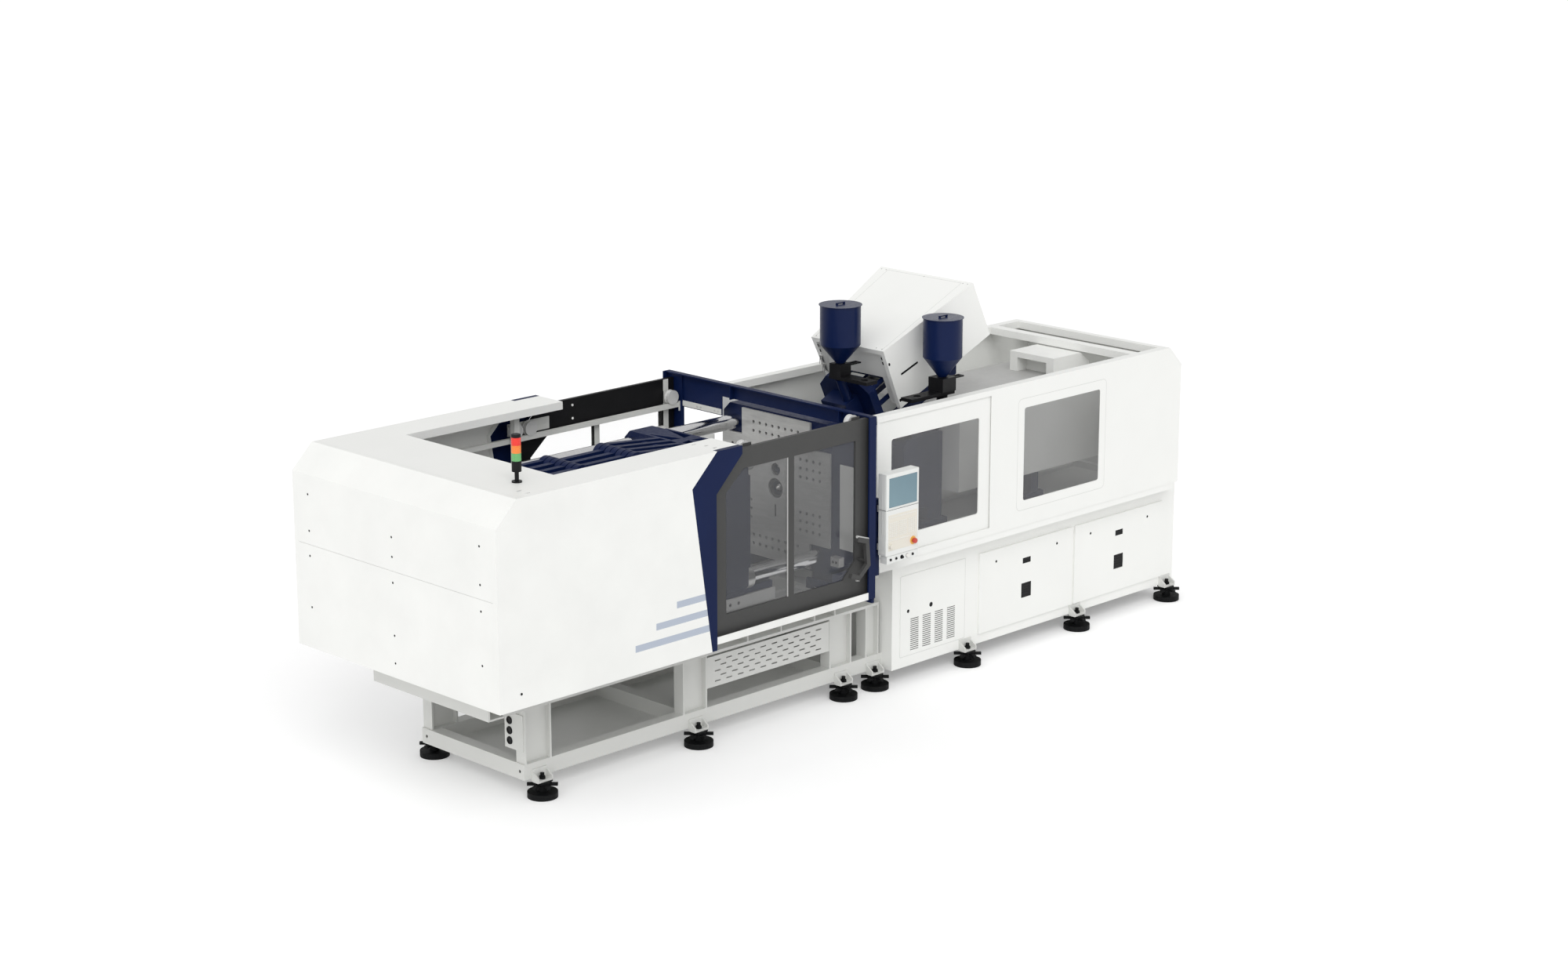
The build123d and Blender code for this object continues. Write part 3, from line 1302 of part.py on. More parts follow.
# Sliding guard with its pane, running behind the fixed wall
sash_y = (-sash_face, -(sash_face - sash_depth))
with BuildPart() as sliding_guard:
    block((sash_left + 2.0, sash_right + 40.0), sash_y, (sash_low - 12.0, sash_high + 12.0))
    sash_w = sash_window[1] - sash_window[0]
    sash_h = sash_window[3] - sash_window[2]
    sash_centre = (sash_window[0] + sash_w / 2 - mid, sash_window[2] + sash_h / 2)
    with BuildSketch(Plane.XZ.offset(-sash_y[1])):
        with Locations(sash_centre):
            RectangleRounded(sash_w, sash_h, corner_fillet)
    extrude(amount=sash_depth, mode=Mode.SUBTRACT)
    with BuildSketch(Plane.XZ.offset(-sash_y[1])):
        with Locations(sash_centre):
            RectangleRounded(sash_w + 24.0, sash_h + 24.0, corner_fillet + 12.0)
    extrude(amount=10.0, mode=Mode.SUBTRACT)
finish(sliding_guard, "sliding_guard")

with BuildPart() as sliding_pane:
    with BuildSketch(Plane.XZ.offset(-sash_y[1] + 4.0)):
        with Locations(sash_centre):
            RectangleRounded(sash_w + 24.0 - 2 * seam, sash_h + 24.0 - 2 * seam, corner_fillet + 11.0)
    extrude(amount=6.0)
finish(sliding_pane, "sliding_pane")

# Operator panel on its swivel arm
panel_end = panel_x + panel_width
with BuildPart() as operator_panel:
    block((panel_x, panel_end), (-panel_face, -panel_back), (panel_foot, panel_head))
    fillet(operator_panel.edges().filter_by(Axis.Z), radius=8.0)
    screen_x = (panel_x + 24.0, panel_x + 340.0)
    block(screen_x, (-panel_face, -panel_face + 4.0), (1650.0, 1885.0), Mode.SUBTRACT)
    block((panel_x + 20.0, panel_end - 20.0), (-panel_face + 6.0, -panel_back - 10.0), (strip_foot, panel_foot))
    block((panel_x + 8.0, panel_end - 8.0), (-panel_face, -panel_back - 20.0), (strip_foot, strip_head))
    side_disc(4107.0, 1351.0, 12.2, (-panel_face - 1, -panel_face + 30.0), Mode.SUBTRACT)
    side_disc(3850.0, 1351.0, 6.2, (-panel_face - 1, -panel_face + 25.0), Mode.SUBTRACT)
    for place in (3984.0, 4045.0):
        side_disc(place, 1242.0, 5.1, (-panel_face - 1, -panel_face + 20.0), Mode.SUBTRACT)
    for level in hinge_levels:
        leaf_z = (level, level + hinge_height)
        upright_rods([(hinge_x, hinge_y)], hinge_knuckle, leaf_z)
        block((hinge_x - hinge_knuckle, hinge_x + hinge_knuckle), (-panel_back, hinge_y), leaf_z)
        upright_rods([(hinge_x, hinge_y)], hinge_pin + run_fit, leaf_z, Mode.SUBTRACT)
finish(operator_panel, "operator_panel")

with BuildPart() as emergency_stop:
    side_disc(4107.0, 1351.0, 20.0, (-panel_face - 34.0, -panel_face - 12.0))
    side_disc(4107.0, 1351.0, 12.0, (-panel_face - 12.0, -panel_face + 20.0))
    fillet(emergency_stop.faces().sort_by(Axis.Y)[0].edges(), radius=5.0)
finish(emergency_stop, "emergency_stop")

for name, place, radius in (("key_switch", 3984.0, 9.0), ("strip_knob", 4045.0, 14.0)):
    with BuildPart() as turn:
        side_disc(place, 1242.0, radius, (-panel_face - 16.0, -panel_face - 1.0))
        side_disc(place, 1242.0, 5.0, (-panel_face - 1.0, -panel_face + 15.0))
    finish(turn, name)

with BuildPart() as panel_knob:
    side_disc(3850.0, 1351.0, 17.0, (-panel_face - 24.0, -panel_face - 1.0))
    side_disc(3850.0, 1351.0, 6.0, (-panel_face - 1.0, -panel_face + 20.0))
finish(panel_knob, "panel_knob")

# Horizontal unit: front housing on its pedestal, rear housing, barrel, covers
rail_head = base_top + deck_rail + seam
house_end = front_house_x + front_house_depth
with BuildPart() as unit_carriage:
    for span, high in (((house_end - 160.0, house_end), house_low), ((rear_house_x, rear_house_x + 90.0), cover_low)):
        for side in (-1, 1):
            shoe_y = (side * deck_rail_y - 60.0, side * deck_rail_y + 60.0)
            block((span[0] - 60.0, span[1] + 60.0), shoe_y, (rail_head, rail_head + 60.0))
    house = (axis_z - 190.0, house_high)
    side_profile(
        [
            (front_house_x, house_low + 60.0),
            (house_end - 160.0, house_low),
            (house_end - 160.0, rail_head + 60.0),
            (house_end, rail_head + 60.0),
            (house_end, house_high),
            (front_house_x + 60.0, house_high),
            (front_house_x, house_high - 60.0),
        ],
        (-house_half, house_half),
    )
    block((rear_house_x, rear_house_x + rear_house_depth), (-house_half, house_half), (rail_head + 60.0, 1990.0))
    rod_centres = [(sy * 230.0, axis_z + sz * 150.0) for sy in (-1, 1) for sz in (-1, 1)]
    long_rods(rod_centres, 30.0, (house_end, rear_house_x))
    long_rods([(0, axis_z)], barrel_radius + 0.5, (front_house_x - 1, house_end + 1), Mode.SUBTRACT)
    feed_x = (hopper_two_x - 50.0, hopper_two_x + 50.0)
    chute = [
        (hopper_two_y - 50.0, hopper_two_base - 150.0),
        (hopper_two_y + 50.0, hopper_two_base - 150.0),
        (-180.0, house_high),
        (-290.0, house_high),
        (-290.0, house_high + 25.0),
    ]
    long_profile(chute, feed_x)
    upright_rods([(hopper_two_x, hopper_two_y)], 44.0, (hopper_two_base - 160.0, hopper_two_base))
    gate_x = (hopper_two_x - hopper_two_block - gate_length + 15.0, hopper_two_x + hopper_two_block + 5.0)
    gate_y = (hopper_two_y - gate_width / 2, hopper_two_y + gate_width / 2)
    gate_z = (hopper_two_base, hopper_two_base + gate_thick)
    block(gate_x, gate_y, gate_z)
    gate_holes = [(hopper_two_x, hopper_two_y), (hopper_two_x - gate_length + 60.0, hopper_two_y)]
    upright_rods(gate_holes, outlet_radius, (hopper_two_base - 20.0, gate_z[1] + 1), Mode.SUBTRACT)
finish(unit_carriage, "unit_carriage")

barrel_end = rear_house_x - seam
with BuildPart() as unit_barrel:
    band_x = front_house_x - 120.0
    long_rods([(0, axis_z)], barrel_radius, (fixed_back + 150.0, barrel_end))
    for count in range(4):
        start = fixed_back + 190.0 + count * 140.0
        long_rods([(0, axis_z)], band_radius, (start, start + 110.0))
    long_rods([(0, axis_z)], 45.0, (fixed_back - 60.0, fixed_back + 150.0))
    long_rods([(0, axis_z)], 28.0, (fixed_face + nozzle_tip, fixed_back - 60.0))
finish(unit_barrel, "unit_barrel")

with BuildPart() as unit_cover:
    block((cover_x, cover_end), (-cover_y, cover_y), (cover_low, cover_high))
    inner_c = (cover_x + skin, cover_end - skin)
    block(inner_c, (-cover_y + skin, cover_y - skin), (cover_low, cover_high - skin), Mode.SUBTRACT)
    block((cover_x - 1, cover_x + 10), (-260.0, 260.0), (cover_low, 1880.0), Mode.SUBTRACT)
    side_profile(
        [(box_x, cover_high), (box_end + 118.0, cover_high), (box_end + 118.0, box_high - 90.0), (box_end, box_high), (box_x, box_high)],
        (-box_y, box_y),
    )
    block((box_x - 1, box_x + 120.0), (-161.0, 161.0), (cover_high, box_high - 48.0), Mode.SUBTRACT)
    block((6100.0, box_x - 20.0), (-330.0, -255.0), (cover_high + seam, cover_high + 45.0))
finish(unit_cover, "unit_cover")

# Inclined unit
dx = shroud_near_x - nozzle_x
dz = shroud_near_z - nozzle_z
shroud_u = dx * cos(tilt) + dz * sin(tilt)
shroud_w = -dx * sin(tilt) + dz * cos(tilt)

feed_dx = hopper_one_x - nozzle_x
feed_dz = hopper_one_base - nozzle_z
feed_u = feed_dx * cos(tilt) + feed_dz * sin(tilt)
feed_w = -feed_dx * sin(tilt) + feed_dz * cos(tilt)
with BuildPart() as incline_carriage:
    base_w = arm_w + seam
    front_u = feed_u + 75.0
    for start in (front_u - 60.0, 1650.0):
        for side in (-1, 1):
            pad_y = (side * 240.0 - 45.0, side * 240.0 + 45.0)
            incline_block((start, start + 170.0), pad_y, (base_w, base_w + 60.0))
    for start in (front_u, 1690.0):
        with BuildSketch(incline_plane(start)):
            with BuildLine():
                Polyline(
                    (-270.0, base_w + 60.0),
                    (270.0, base_w + 60.0),
                    (270.0, 140.0),
                    (170.0, 235.0),
                    (-170.0, 235.0),
                    (-270.0, 140.0),
                    close=True,
                )
            make_face()
        extrude(amount=80.0)
    incline_block((feed_u - 80.0, front_u), (-135.0, 135.0), (-105.0, 110.0))
    incline_rods([(-190.0, 100.0), (190.0, 100.0), (-190.0, -60.0), (190.0, -60.0)], 20.0, (front_u + 80.0, 1690.0))
    incline_rods([(0, 0)], 62.5, (feed_u - 90.0, front_u + 90.0), Mode.SUBTRACT)
    roof_w = shroud_w - skin - seam
    for start, low in ((1180.0, 95.0), (1700.0, 200.0)):
        incline_block((start, start + 60.0), (-210.0, 210.0), (low, roof_w))
    throat_plane = Plane(
        origin=(
            nozzle_x - mid + along[0] * feed_u + normal[0] * 100.0,
            hopper_one_y,
            nozzle_z + along[2] * feed_u + normal[2] * 100.0,
        ),
        x_dir=(0, 1, 0),
        z_dir=normal,
    )
    with BuildSketch(throat_plane):
        Circle(38.0)
    extrude(amount=feed_w - 100.0)
    gate_y = (hopper_one_y + hopper_one_block + 5.0 - gate_length - 60.0, hopper_one_y + hopper_one_block + 5.0)
    gate_z = (hopper_one_base, hopper_one_base + gate_thick)
    block((hopper_one_x - gate_width / 2, hopper_one_x + gate_width / 2), gate_y, gate_z)
    gate_holes = [(hopper_one_x, hopper_one_y), (hopper_one_x, gate_y[0] + 80.0)]
    upright_rods(gate_holes, outlet_radius, (hopper_one_base - 1.0, gate_z[1] + 1), Mode.SUBTRACT)
finish(incline_carriage, "incline_carriage")

with BuildPart() as incline_barrel:
    incline_rods([(0, 0)], 62.0, (480.0, 1650.0))
    for count in range(2):
        incline_rods([(0, 0)], 76.0, (500.0 + count * 100.0, 580.0 + count * 100.0))
    incline_rods([(0, 0)], 30.0, (395.0, 480.0))
    incline_rods([(0, 0)], 20.0, (60.0, 395.0))
finish(incline_barrel, "incline_barrel")

rim_width = 40.0
rim_depth = 42.0
with BuildPart() as incline_shroud:
    for shrink, start, mode in ((0.0, 0.0, Mode.ADD), (skin, rim_depth + skin, Mode.SUBTRACT)):
        top = shroud_w - shrink
        share = start / shroud_length
        near_half = shroud_near_half + (shroud_far_half - shroud_near_half) * share - shrink
        near_low = top - shroud_height + (shroud_height - shroud_far_height) * share
        with BuildSketch(incline_plane(shroud_u + start)):
            with BuildLine():
                Polyline(
                    (-near_half, top),
                    (near_half, top),
                    (near_half - 26.0 * (1 - share), near_low - shrink),
                    (-near_half + 26.0 * (1 - share), near_low - shrink),
                    close=True,
                )
            make_face()
        with BuildSketch(incline_plane(shroud_u + shroud_length - shrink)):
            with BuildLine():
                Polyline(
                    (-shroud_far_half + shrink, top),
                    (shroud_far_half - shrink, top),
                    (shroud_far_half - shrink, top - shroud_far_height - shrink),
                    (-shroud_far_half + shrink, top - shroud_far_height - shrink),
                    close=True,
                )
            make_face()
        loft(ruled=True, mode=mode)
    recess_half = shroud_near_half - rim_width
    recess_low = shroud_w - shroud_height - 5.0
    with BuildSketch(incline_plane(shroud_u - 5.0)):
        with BuildLine():
            Polyline(
                (-recess_half, shroud_w - rim_width),
                (recess_half, shroud_w - rim_width),
                (recess_half - 26.0, recess_low),
                (-recess_half + 26.0, recess_low),
                close=True,
            )
        make_face()
    extrude(amount=rim_depth + 5.0, mode=Mode.SUBTRACT)
    mouth_u = (shroud_u - 1.0, shroud_u + rim_depth + 2 * skin)
    incline_block(mouth_u, (-235.0, 235.0), (recess_low, 150.0), Mode.SUBTRACT)
finish(incline_shroud, "incline_shroud")

# Hoppers: drum and cone on an outlet block with its pull bow, and a resting lid
hoppers = (
    ("one", hopper_one_x, hopper_one_y, hopper_one_base, hopper_one_radius, hopper_one_drum, hopper_one_cone),
    ("two", hopper_two_x, hopper_two_y, hopper_two_base, hopper_two_radius, hopper_two_drum, hopper_two_cone),
)
blocks = {"one": (hopper_one_block, hopper_one_neck), "two": (hopper_two_block, hopper_two_neck)}
for word, x_axis, y_axis, base_z, radius, drum, cone in hoppers:
    block_half, neck = blocks[word]
    cone_z = base_z + neck
    drum_z = cone_z + cone
    top_z = drum_z + drum
    with BuildPart() as hopper:
        with BuildSketch(Plane.XZ.offset(-y_axis)) as shell:
            with BuildLine():
                x0 = x_axis - mid
                Polyline(
                    (x0 + outlet_radius, cone_z),
                    (x0 + outlet_radius + 2 * hopper_sheet, cone_z),
                    (x0 + radius, drum_z),
                    (x0 + radius, top_z - 4.0),
                    (x0 + radius - hopper_sheet, top_z - 4.0),
                    (x0 + radius - hopper_sheet, drum_z),
                    close=True,
                )
            make_face()
        revolve(axis=Axis((x_axis - mid, y_axis, 0), (0, 0, 1)), revolution_arc=360)
        block_z = (base_z + gate_thick + seam, cone_z - seam)
        block_x = (x_axis - block_half, x_axis + block_half)
        block(block_x, (y_axis - block_half, y_axis + block_half), block_z)
        upright_rods([(x_axis, y_axis)], outlet_radius, (block_z[0] - 1, block_z[1] + 1), Mode.SUBTRACT)
        bow_z = (block_z[1] - 30.0, block_z[1] - 18.0)
        with BuildSketch(Plane.XY.offset(bow_z[0])):
            with BuildLine() as bow:
                Polyline(
                    (block_x[1] - 2.0 - mid, y_axis - 24.0),
                    (block_x[1] + 140.0 - mid, y_axis - 24.0),
                    (block_x[1] + 140.0 - mid, y_axis + 24.0),
                    (block_x[1] - 2.0 - mid, y_axis + 24.0),
                )
            trace(bow.line, line_width=12.0)
        extrude(amount=12.0)
    finish(hopper, "hopper_" + word)

    with BuildPart() as lid:
        here = [(x_axis, y_axis)]
        upright_rods(here, radius + lid_overhang, (top_z - 4.0 + seam, top_z + 1.0))
        upright_rods(here, radius - hopper_sheet - 2.0, (top_z - 14.0, top_z - 4.0 + seam))
        block((x_axis - 45, x_axis + 45), (y_axis - 8, y_axis + 8), (top_z + 1.0, top_z + 17.0))
        block((x_axis - 33, x_axis + 33), (y_axis - 9, y_axis + 9), (top_z + 1.0, top_z + 8.0), Mode.SUBTRACT)
    finish(lid, "hopper_lid_" + word)
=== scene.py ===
import bpy
import bmesh
import math
from mathutils import Vector, Matrix


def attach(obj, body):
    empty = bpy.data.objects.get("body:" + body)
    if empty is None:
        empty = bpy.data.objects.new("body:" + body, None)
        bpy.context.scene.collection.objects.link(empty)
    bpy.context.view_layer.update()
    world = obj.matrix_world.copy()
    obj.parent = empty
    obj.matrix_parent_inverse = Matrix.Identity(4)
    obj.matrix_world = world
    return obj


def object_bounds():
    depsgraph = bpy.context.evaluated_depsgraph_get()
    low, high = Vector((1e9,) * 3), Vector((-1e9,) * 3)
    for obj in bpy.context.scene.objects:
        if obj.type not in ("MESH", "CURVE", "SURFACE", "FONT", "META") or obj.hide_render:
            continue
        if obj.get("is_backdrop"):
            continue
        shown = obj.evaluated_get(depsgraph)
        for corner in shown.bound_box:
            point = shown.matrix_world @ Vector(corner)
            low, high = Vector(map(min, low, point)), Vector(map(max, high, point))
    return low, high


# Injection moulding machine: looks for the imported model, in metres.
# Places are stations along the machine from the clamp end, y and z, in millimetres. S() and P() turn them
# into the frame. Radii, heights and bevels of small pieces are in metres.
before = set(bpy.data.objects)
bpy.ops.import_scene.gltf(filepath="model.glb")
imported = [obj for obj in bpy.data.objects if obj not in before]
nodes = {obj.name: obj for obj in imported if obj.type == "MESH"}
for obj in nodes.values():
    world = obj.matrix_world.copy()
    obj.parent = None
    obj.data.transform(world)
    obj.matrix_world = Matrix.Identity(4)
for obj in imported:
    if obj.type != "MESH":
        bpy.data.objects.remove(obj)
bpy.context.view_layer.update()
scene = bpy.context.scene

MM = 1000.0
MID_STATION = 3963.5
# Each long side of the machine: its sign of y, its word in names and the way out
SIDES = ((-1, "front", "-Y"), (1, "rear", "+Y"))


def S(station):
    """The frame's X of a station."""
    return (station - MID_STATION) / MM


def P(station, y, z):
    """The frame's place of a station, y and z."""
    return Vector((S(station), y / MM, z / MM))


def y_span(side, near, far):
    """Low and high y of two distances from the middle, on one side of the machine."""
    return sorted((side * near, side * far))


# Camera at the photograph's place
CAMERA_DOWN = 14.789
CAMERA_TURN = 45.082
cam_data = bpy.data.cameras.new("Camera")
cam_data.sensor_width = 36.0
cam_data.lens = 69.652
cam_data.clip_end = 200.0
cam = bpy.data.objects.new("Camera", cam_data)
scene.collection.objects.link(cam)
cam.location = (-16.3485, -16.2809, 7.6515)
cam.rotation_euler = (math.radians(90 - CAMERA_DOWN), 0, math.radians(CAMERA_TURN - 90))
scene.camera = cam


# Materials
class Nodes:
    """A material's node tree with short calls for the nodes used here."""

    def __init__(self, name):
        self.mat = bpy.data.materials.new(name)
        self.mat.use_nodes = True
        self.tree = self.mat.node_tree
        self.bsdf = self.tree.nodes["Principled BSDF"]
        self.coord = self.tree.nodes.new("ShaderNodeTexCoord")
        self.split = None

    def add(self, kind, **values):
        node = self.tree.nodes.new(kind)
        for key, value in values.items():
            setattr(node, key, value)
        return node

    def link(self, a, b):
        self.tree.links.new(a, b)

    def feed(self, socket, value):
        """Set a socket to a number or colour, or link it to another node's output."""
        if isinstance(value, tuple):
            socket.default_value = (*value, 1.0)
        elif isinstance(value, (int, float)):
            socket.default_value = value
        else:
            self.link(value, socket)

    def surface(self, name, value):
        self.feed(self.bsdf.inputs[name], value)

    def noise(self, scale, detail=3.0, rough=0.55, stretch=None):
        node = self.add("ShaderNodeTexNoise")
        node.inputs["Scale"].default_value = scale
        node.inputs["Detail"].default_value = detail
        node.inputs["Roughness"].default_value = rough
        source = self.coord.outputs["Object"]
        if stretch:
            mapping = self.add("ShaderNodeMapping")
            mapping.inputs["Scale"].default_value = stretch
            self.link(source, mapping.inputs["Vector"])
            source = mapping.outputs["Vector"]
        self.link(source, node.inputs["Vector"])
        return node.outputs["Fac"]

    def ramp(self, fac, stops, constant=False):
        node = self.add("ShaderNodeValToRGB")
        node.color_ramp.interpolation = "CONSTANT" if constant else "LINEAR"
        while len(node.color_ramp.elements) < len(stops):
            node.color_ramp.elements.new(0.5)
        for element, (place, colour) in zip(node.color_ramp.elements, stops):
            element.position = place
            element.color = (*colour, 1.0)
        self.link(fac, node.inputs["Fac"])
        return node.outputs["Color"]

    def span(self, fac, low, high):
        """Noise spread from low to high."""
        node = self.add("ShaderNodeMapRange")
        node.inputs["From Min"].default_value = 0.3
        node.inputs["From Max"].default_value = 0.7
        node.inputs["To Min"].default_value = low
        node.inputs["To Max"].default_value = high
        self.link(fac, node.inputs["Value"])
        return node.outputs["Result"]

    def math(self, operation, a, b=None):
        node = self.add("ShaderNodeMath", operation=operation)
        self.feed(node.inputs[0], a)
        if b is not None:
            self.feed(node.inputs[1], b)
        return node.outputs[0]

    def axis(self, name):
        if self.split is None:
            self.split = self.add("ShaderNodeSeparateXYZ")
            self.link(self.coord.outputs["Object"], self.split.inputs[0])
        return self.split.outputs[name]

    def inside(self, name, low, high):
        above = self.math("GREATER_THAN", self.axis(name), low)
        below = self.math("LESS_THAN", self.axis(name), high)
        return self.math("MULTIPLY", above, below)

    def within(self, tests):
        """One where every axis lies between its two limits, else zero."""
        mask = None
        for axis, low, high in tests:
            part = self.inside(axis, low, high)
            mask = part if mask is None else self.math("MULTIPLY", mask, part)
        return mask

    def mix(self, fac, a, b):
        node = self.add("ShaderNodeMix", data_type="RGBA")
        self.link(fac, node.inputs["Factor"])
        self.feed(node.inputs[6], a)
        self.feed(node.inputs[7], b)
        return node.outputs[2]

    def bump(self, height, strength, distance):
        node = self.add("ShaderNodeBump")
        node.inputs["Strength"].default_value = strength
        node.inputs["Distance"].default_value = distance
        self.link(height, node.inputs["Height"])
        self.link(node.outputs["Normal"], self.bsdf.inputs["Normal"])


COAT_GRAIN = 0.0006


def shade(colour, factor):
    return tuple(min(1.0, c * factor) for c in colour)


def paint_colour(n, colour, spread):
    """Slow colour drift with a little dust settled in patches."""
    dusty, clean = shade(colour, 1.0 - spread), shade(colour, 1.0 + spread * 0.6)
    return n.ramp(n.noise(2.3, 4.0), [(0.3, dusty), (0.7, clean)])


def powder(name, colour, rough=0.42, grain=900.0, strength=0.05, spread=0.012, coat=0.0, shine=0.5):
    """Sprayed coat or moulded plastic with a fine grain."""
    n = Nodes(name)
    n.surface("Base Color", paint_colour(n, colour, spread))
    n.surface("Roughness", n.span(n.noise(35.0, 4.0), rough - 0.05, rough + 0.07))
    n.surface("Coat Weight", coat)
    n.surface("Coat Roughness", 0.12)
    n.surface("Specular IOR Level", shine)
    n.bump(n.noise(grain, 2.0), strength, COAT_GRAIN)
    return n


def steel(name, colour, rough, stretch, metal=1.0, strength=0.08):
    """Bare metal with machining lines along the direction of the smallest stretch."""
    n = Nodes(name)
    lines = n.noise(60.0, 5.0, 0.6, stretch)
    n.surface("Base Color", n.ramp(lines, [(0.3, shade(colour, 0.86)), (0.72, shade(colour, 1.08))]))
    n.surface("Roughness", n.span(lines, rough - 0.05, rough + 0.09))
    n.surface("Metallic", metal)
    n.bump(lines, strength, 0.0004)
    return n


WHITE = (0.905, 0.91, 0.885)
FRAME = (0.70, 0.705, 0.68)
NAVY = (0.0045, 0.0125, 0.060)
NAVY_HOPPER = (0.003, 0.011, 0.058)
DARK = (0.062, 0.062, 0.061)
BLACK = (0.008, 0.008, 0.009)
STEEL = (0.62, 0.62, 0.61)
GREYBLUE = (0.46, 0.51, 0.60)
# Darker grey for the unit cover's top: painted shade
TOP_PAINTED_SHADE = (0.50, 0.50, 0.49)
GREY_WAY = (0.55, 0.55, 0.54)

white = powder("white_powder_coat", WHITE)
frame_coat = powder("frame_powder_coat", FRAME, 0.46)
navy = powder("navy_satin_paint", NAVY, 0.38, spread=0.12, shine=0.12)
dark = powder("door_grey_coat", DARK, 0.45, spread=0.06, shine=0.25)
black = powder("black_coat", BLACK, 0.4, spread=0.25, shine=0.2)
ground = steel("ground_steel", STEEL, 0.32, (0.12, 3.0, 3.0))
pale_steel = steel(
    "pale_machined_steel", (0.56, 0.56, 0.55), 0.42, (0.2, 3.0, 3.0), metal=0.25, strength=0.05
)
roller = steel("roller_steel", (0.74, 0.74, 0.73), 0.42, (3.0, 0.2, 3.0), metal=0.15, strength=0.04)
turned = steel("turned_steel", (0.66, 0.65, 0.63), 0.3, (3.0, 0.2, 3.0))
chrome = steel("hard_chrome", (0.78, 0.78, 0.79), 0.1, (6.0, 0.3, 0.3), strength=0.03)
rubber = powder(
    "black_rubber", (0.005, 0.0055, 0.006), 0.58, grain=500.0, strength=0.2, spread=0.3, shine=0.15
)
hopper_paint = powder(
    "hopper_gloss_paint", NAVY_HOPPER, 0.3, grain=300.0, strength=0.03, spread=0.1, coat=0.2, shine=0.2
)
grey_paint = powder("light_grey_coat", (0.55, 0.555, 0.54), 0.44)
cream = powder("keypad_cream", (0.80, 0.765, 0.68), 0.5, grain=700.0)
key_white = powder("key_white", (0.86, 0.85, 0.81), 0.45, grain=700.0)
amber = powder("stop_plate_yellow", (0.85, 0.47, 0.09), 0.42)
red = powder("stop_red", (0.55, 0.035, 0.02), 0.32, coat=0.3)
hmi = powder("panel_housing", (0.82, 0.83, 0.81), 0.45, grain=800.0)


def castings(name, tests):
    """Navy casting with bare machined faces where all tests hold."""
    n = Nodes(name)
    mask = n.within(tests)
    fine = n.noise(45.0, 5.0, 0.6, (1.0, 0.15, 1.0))
    bare = n.ramp(fine, [(0.3, (0.50, 0.50, 0.49)), (0.7, (0.60, 0.60, 0.585))])
    n.surface("Base Color", n.mix(mask, paint_colour(n, NAVY, 0.12), bare))
    n.surface("Specular IOR Level", 0.2)
    n.surface("Metallic", n.math("MULTIPLY", mask, 0.35))
    n.surface("Roughness", n.span(n.noise(30.0), 0.36, 0.5))
    n.bump(n.noise(60.0, 3.0), 0.05, COAT_GRAIN)
    return n


def two_tone(name, first, second, tests, rough, coat=0.0, shine=0.5):
    """First colour, and the second where all tests hold."""
    n = Nodes(name)
    mask = n.within(tests)
    n.surface("Base Color", n.mix(mask, paint_colour(n, first, 0.06), paint_colour(n, second, 0.1)))
    n.surface("Roughness", n.span(n.noise(35.0), rough - 0.05, rough + 0.08))
    n.surface("Coat Weight", coat)
    n.surface("Specular IOR Level", shine)
    n.bump(n.noise(600.0, 2.0), 0.06, COAT_GRAIN)
    return n


def carriage_paint(name, tests):
    """Navy carriage with its black parts where all tests hold."""
    n = Nodes(name)
    mask = n.within(tests)
    n.surface("Base Color", n.mix(mask, paint_colour(n, NAVY, 0.12), BLACK))
    n.surface("Roughness", n.span(n.noise(35.0), 0.34, 0.46))
    n.surface("Specular IOR Level", 0.15)
    n.bump(n.noise(500.0, 2.0), 0.06, COAT_GRAIN)
    return n


def striped_cover():
    """White coat with three plain horizontal stripes of different length near the door end."""
    outer_face = 1.1385
    stripes_end = S(1985.0)
    n = Nodes("cover_coat_with_stripes")
    total = None
    outer = n.math("GREATER_THAN", n.math("ABSOLUTE", n.axis("Y")), outer_face)
    for low, high, start in ((1.095, 1.145, 1240.0), (1.215, 1.265, 1440.0), (1.335, 1.385, 1640.0)):
        part = n.math("MULTIPLY", n.inside("Z", low, high), n.inside("X", S(start), stripes_end))
        total = part if total is None else n.math("MAXIMUM", total, part)
    mask = n.math("MULTIPLY", total, outer)
    n.surface("Base Color", n.mix(mask, paint_colour(n, WHITE, 0.03), GREYBLUE))
    n.surface("Roughness", n.span(n.noise(35.0, 4.0), 0.38, 0.48))
    n.bump(n.noise(900.0, 2.0), 0.05, COAT_GRAIN)
    return n


def pane_material(name, tint, alpha):
    n = Nodes(name)
    film = n.noise(1.6, 4.0)
    n.surface("Base Color", n.ramp(film, [(0.3, shade(tint, 0.92)), (0.7, shade(tint, 1.1))]))
    n.surface("Roughness", n.span(n.noise(14.0), 0.03, 0.09))
    n.surface("Alpha", alpha)
    return n


def lens_material():
    """Green, orange and red lens above each other."""
    foot_z, first_lens, lens_height = 2414.0, 152.0, 0.055
    n = Nodes("signal_lens_plastic")
    start = (foot_z + first_lens) / MM
    height = n.math("DIVIDE", n.math("SUBTRACT", n.axis("Z"), start), 3 * lens_height)
    colours = [(0.0, (0.15, 0.44, 0.16)), (0.333, (0.91, 0.25, 0.045)), (0.667, (0.87, 0.04, 0.027))]
    n.surface("Base Color", n.ramp(height, colours, True))
    n.surface("Roughness", n.span(n.noise(30.0), 0.22, 0.34))
    n.surface("Subsurface Weight", 0.15)
    n.bump(n.noise(60.0, 1.0, 0.5, (30.0, 30.0, 0.5)), 0.2, 0.001)
    return n


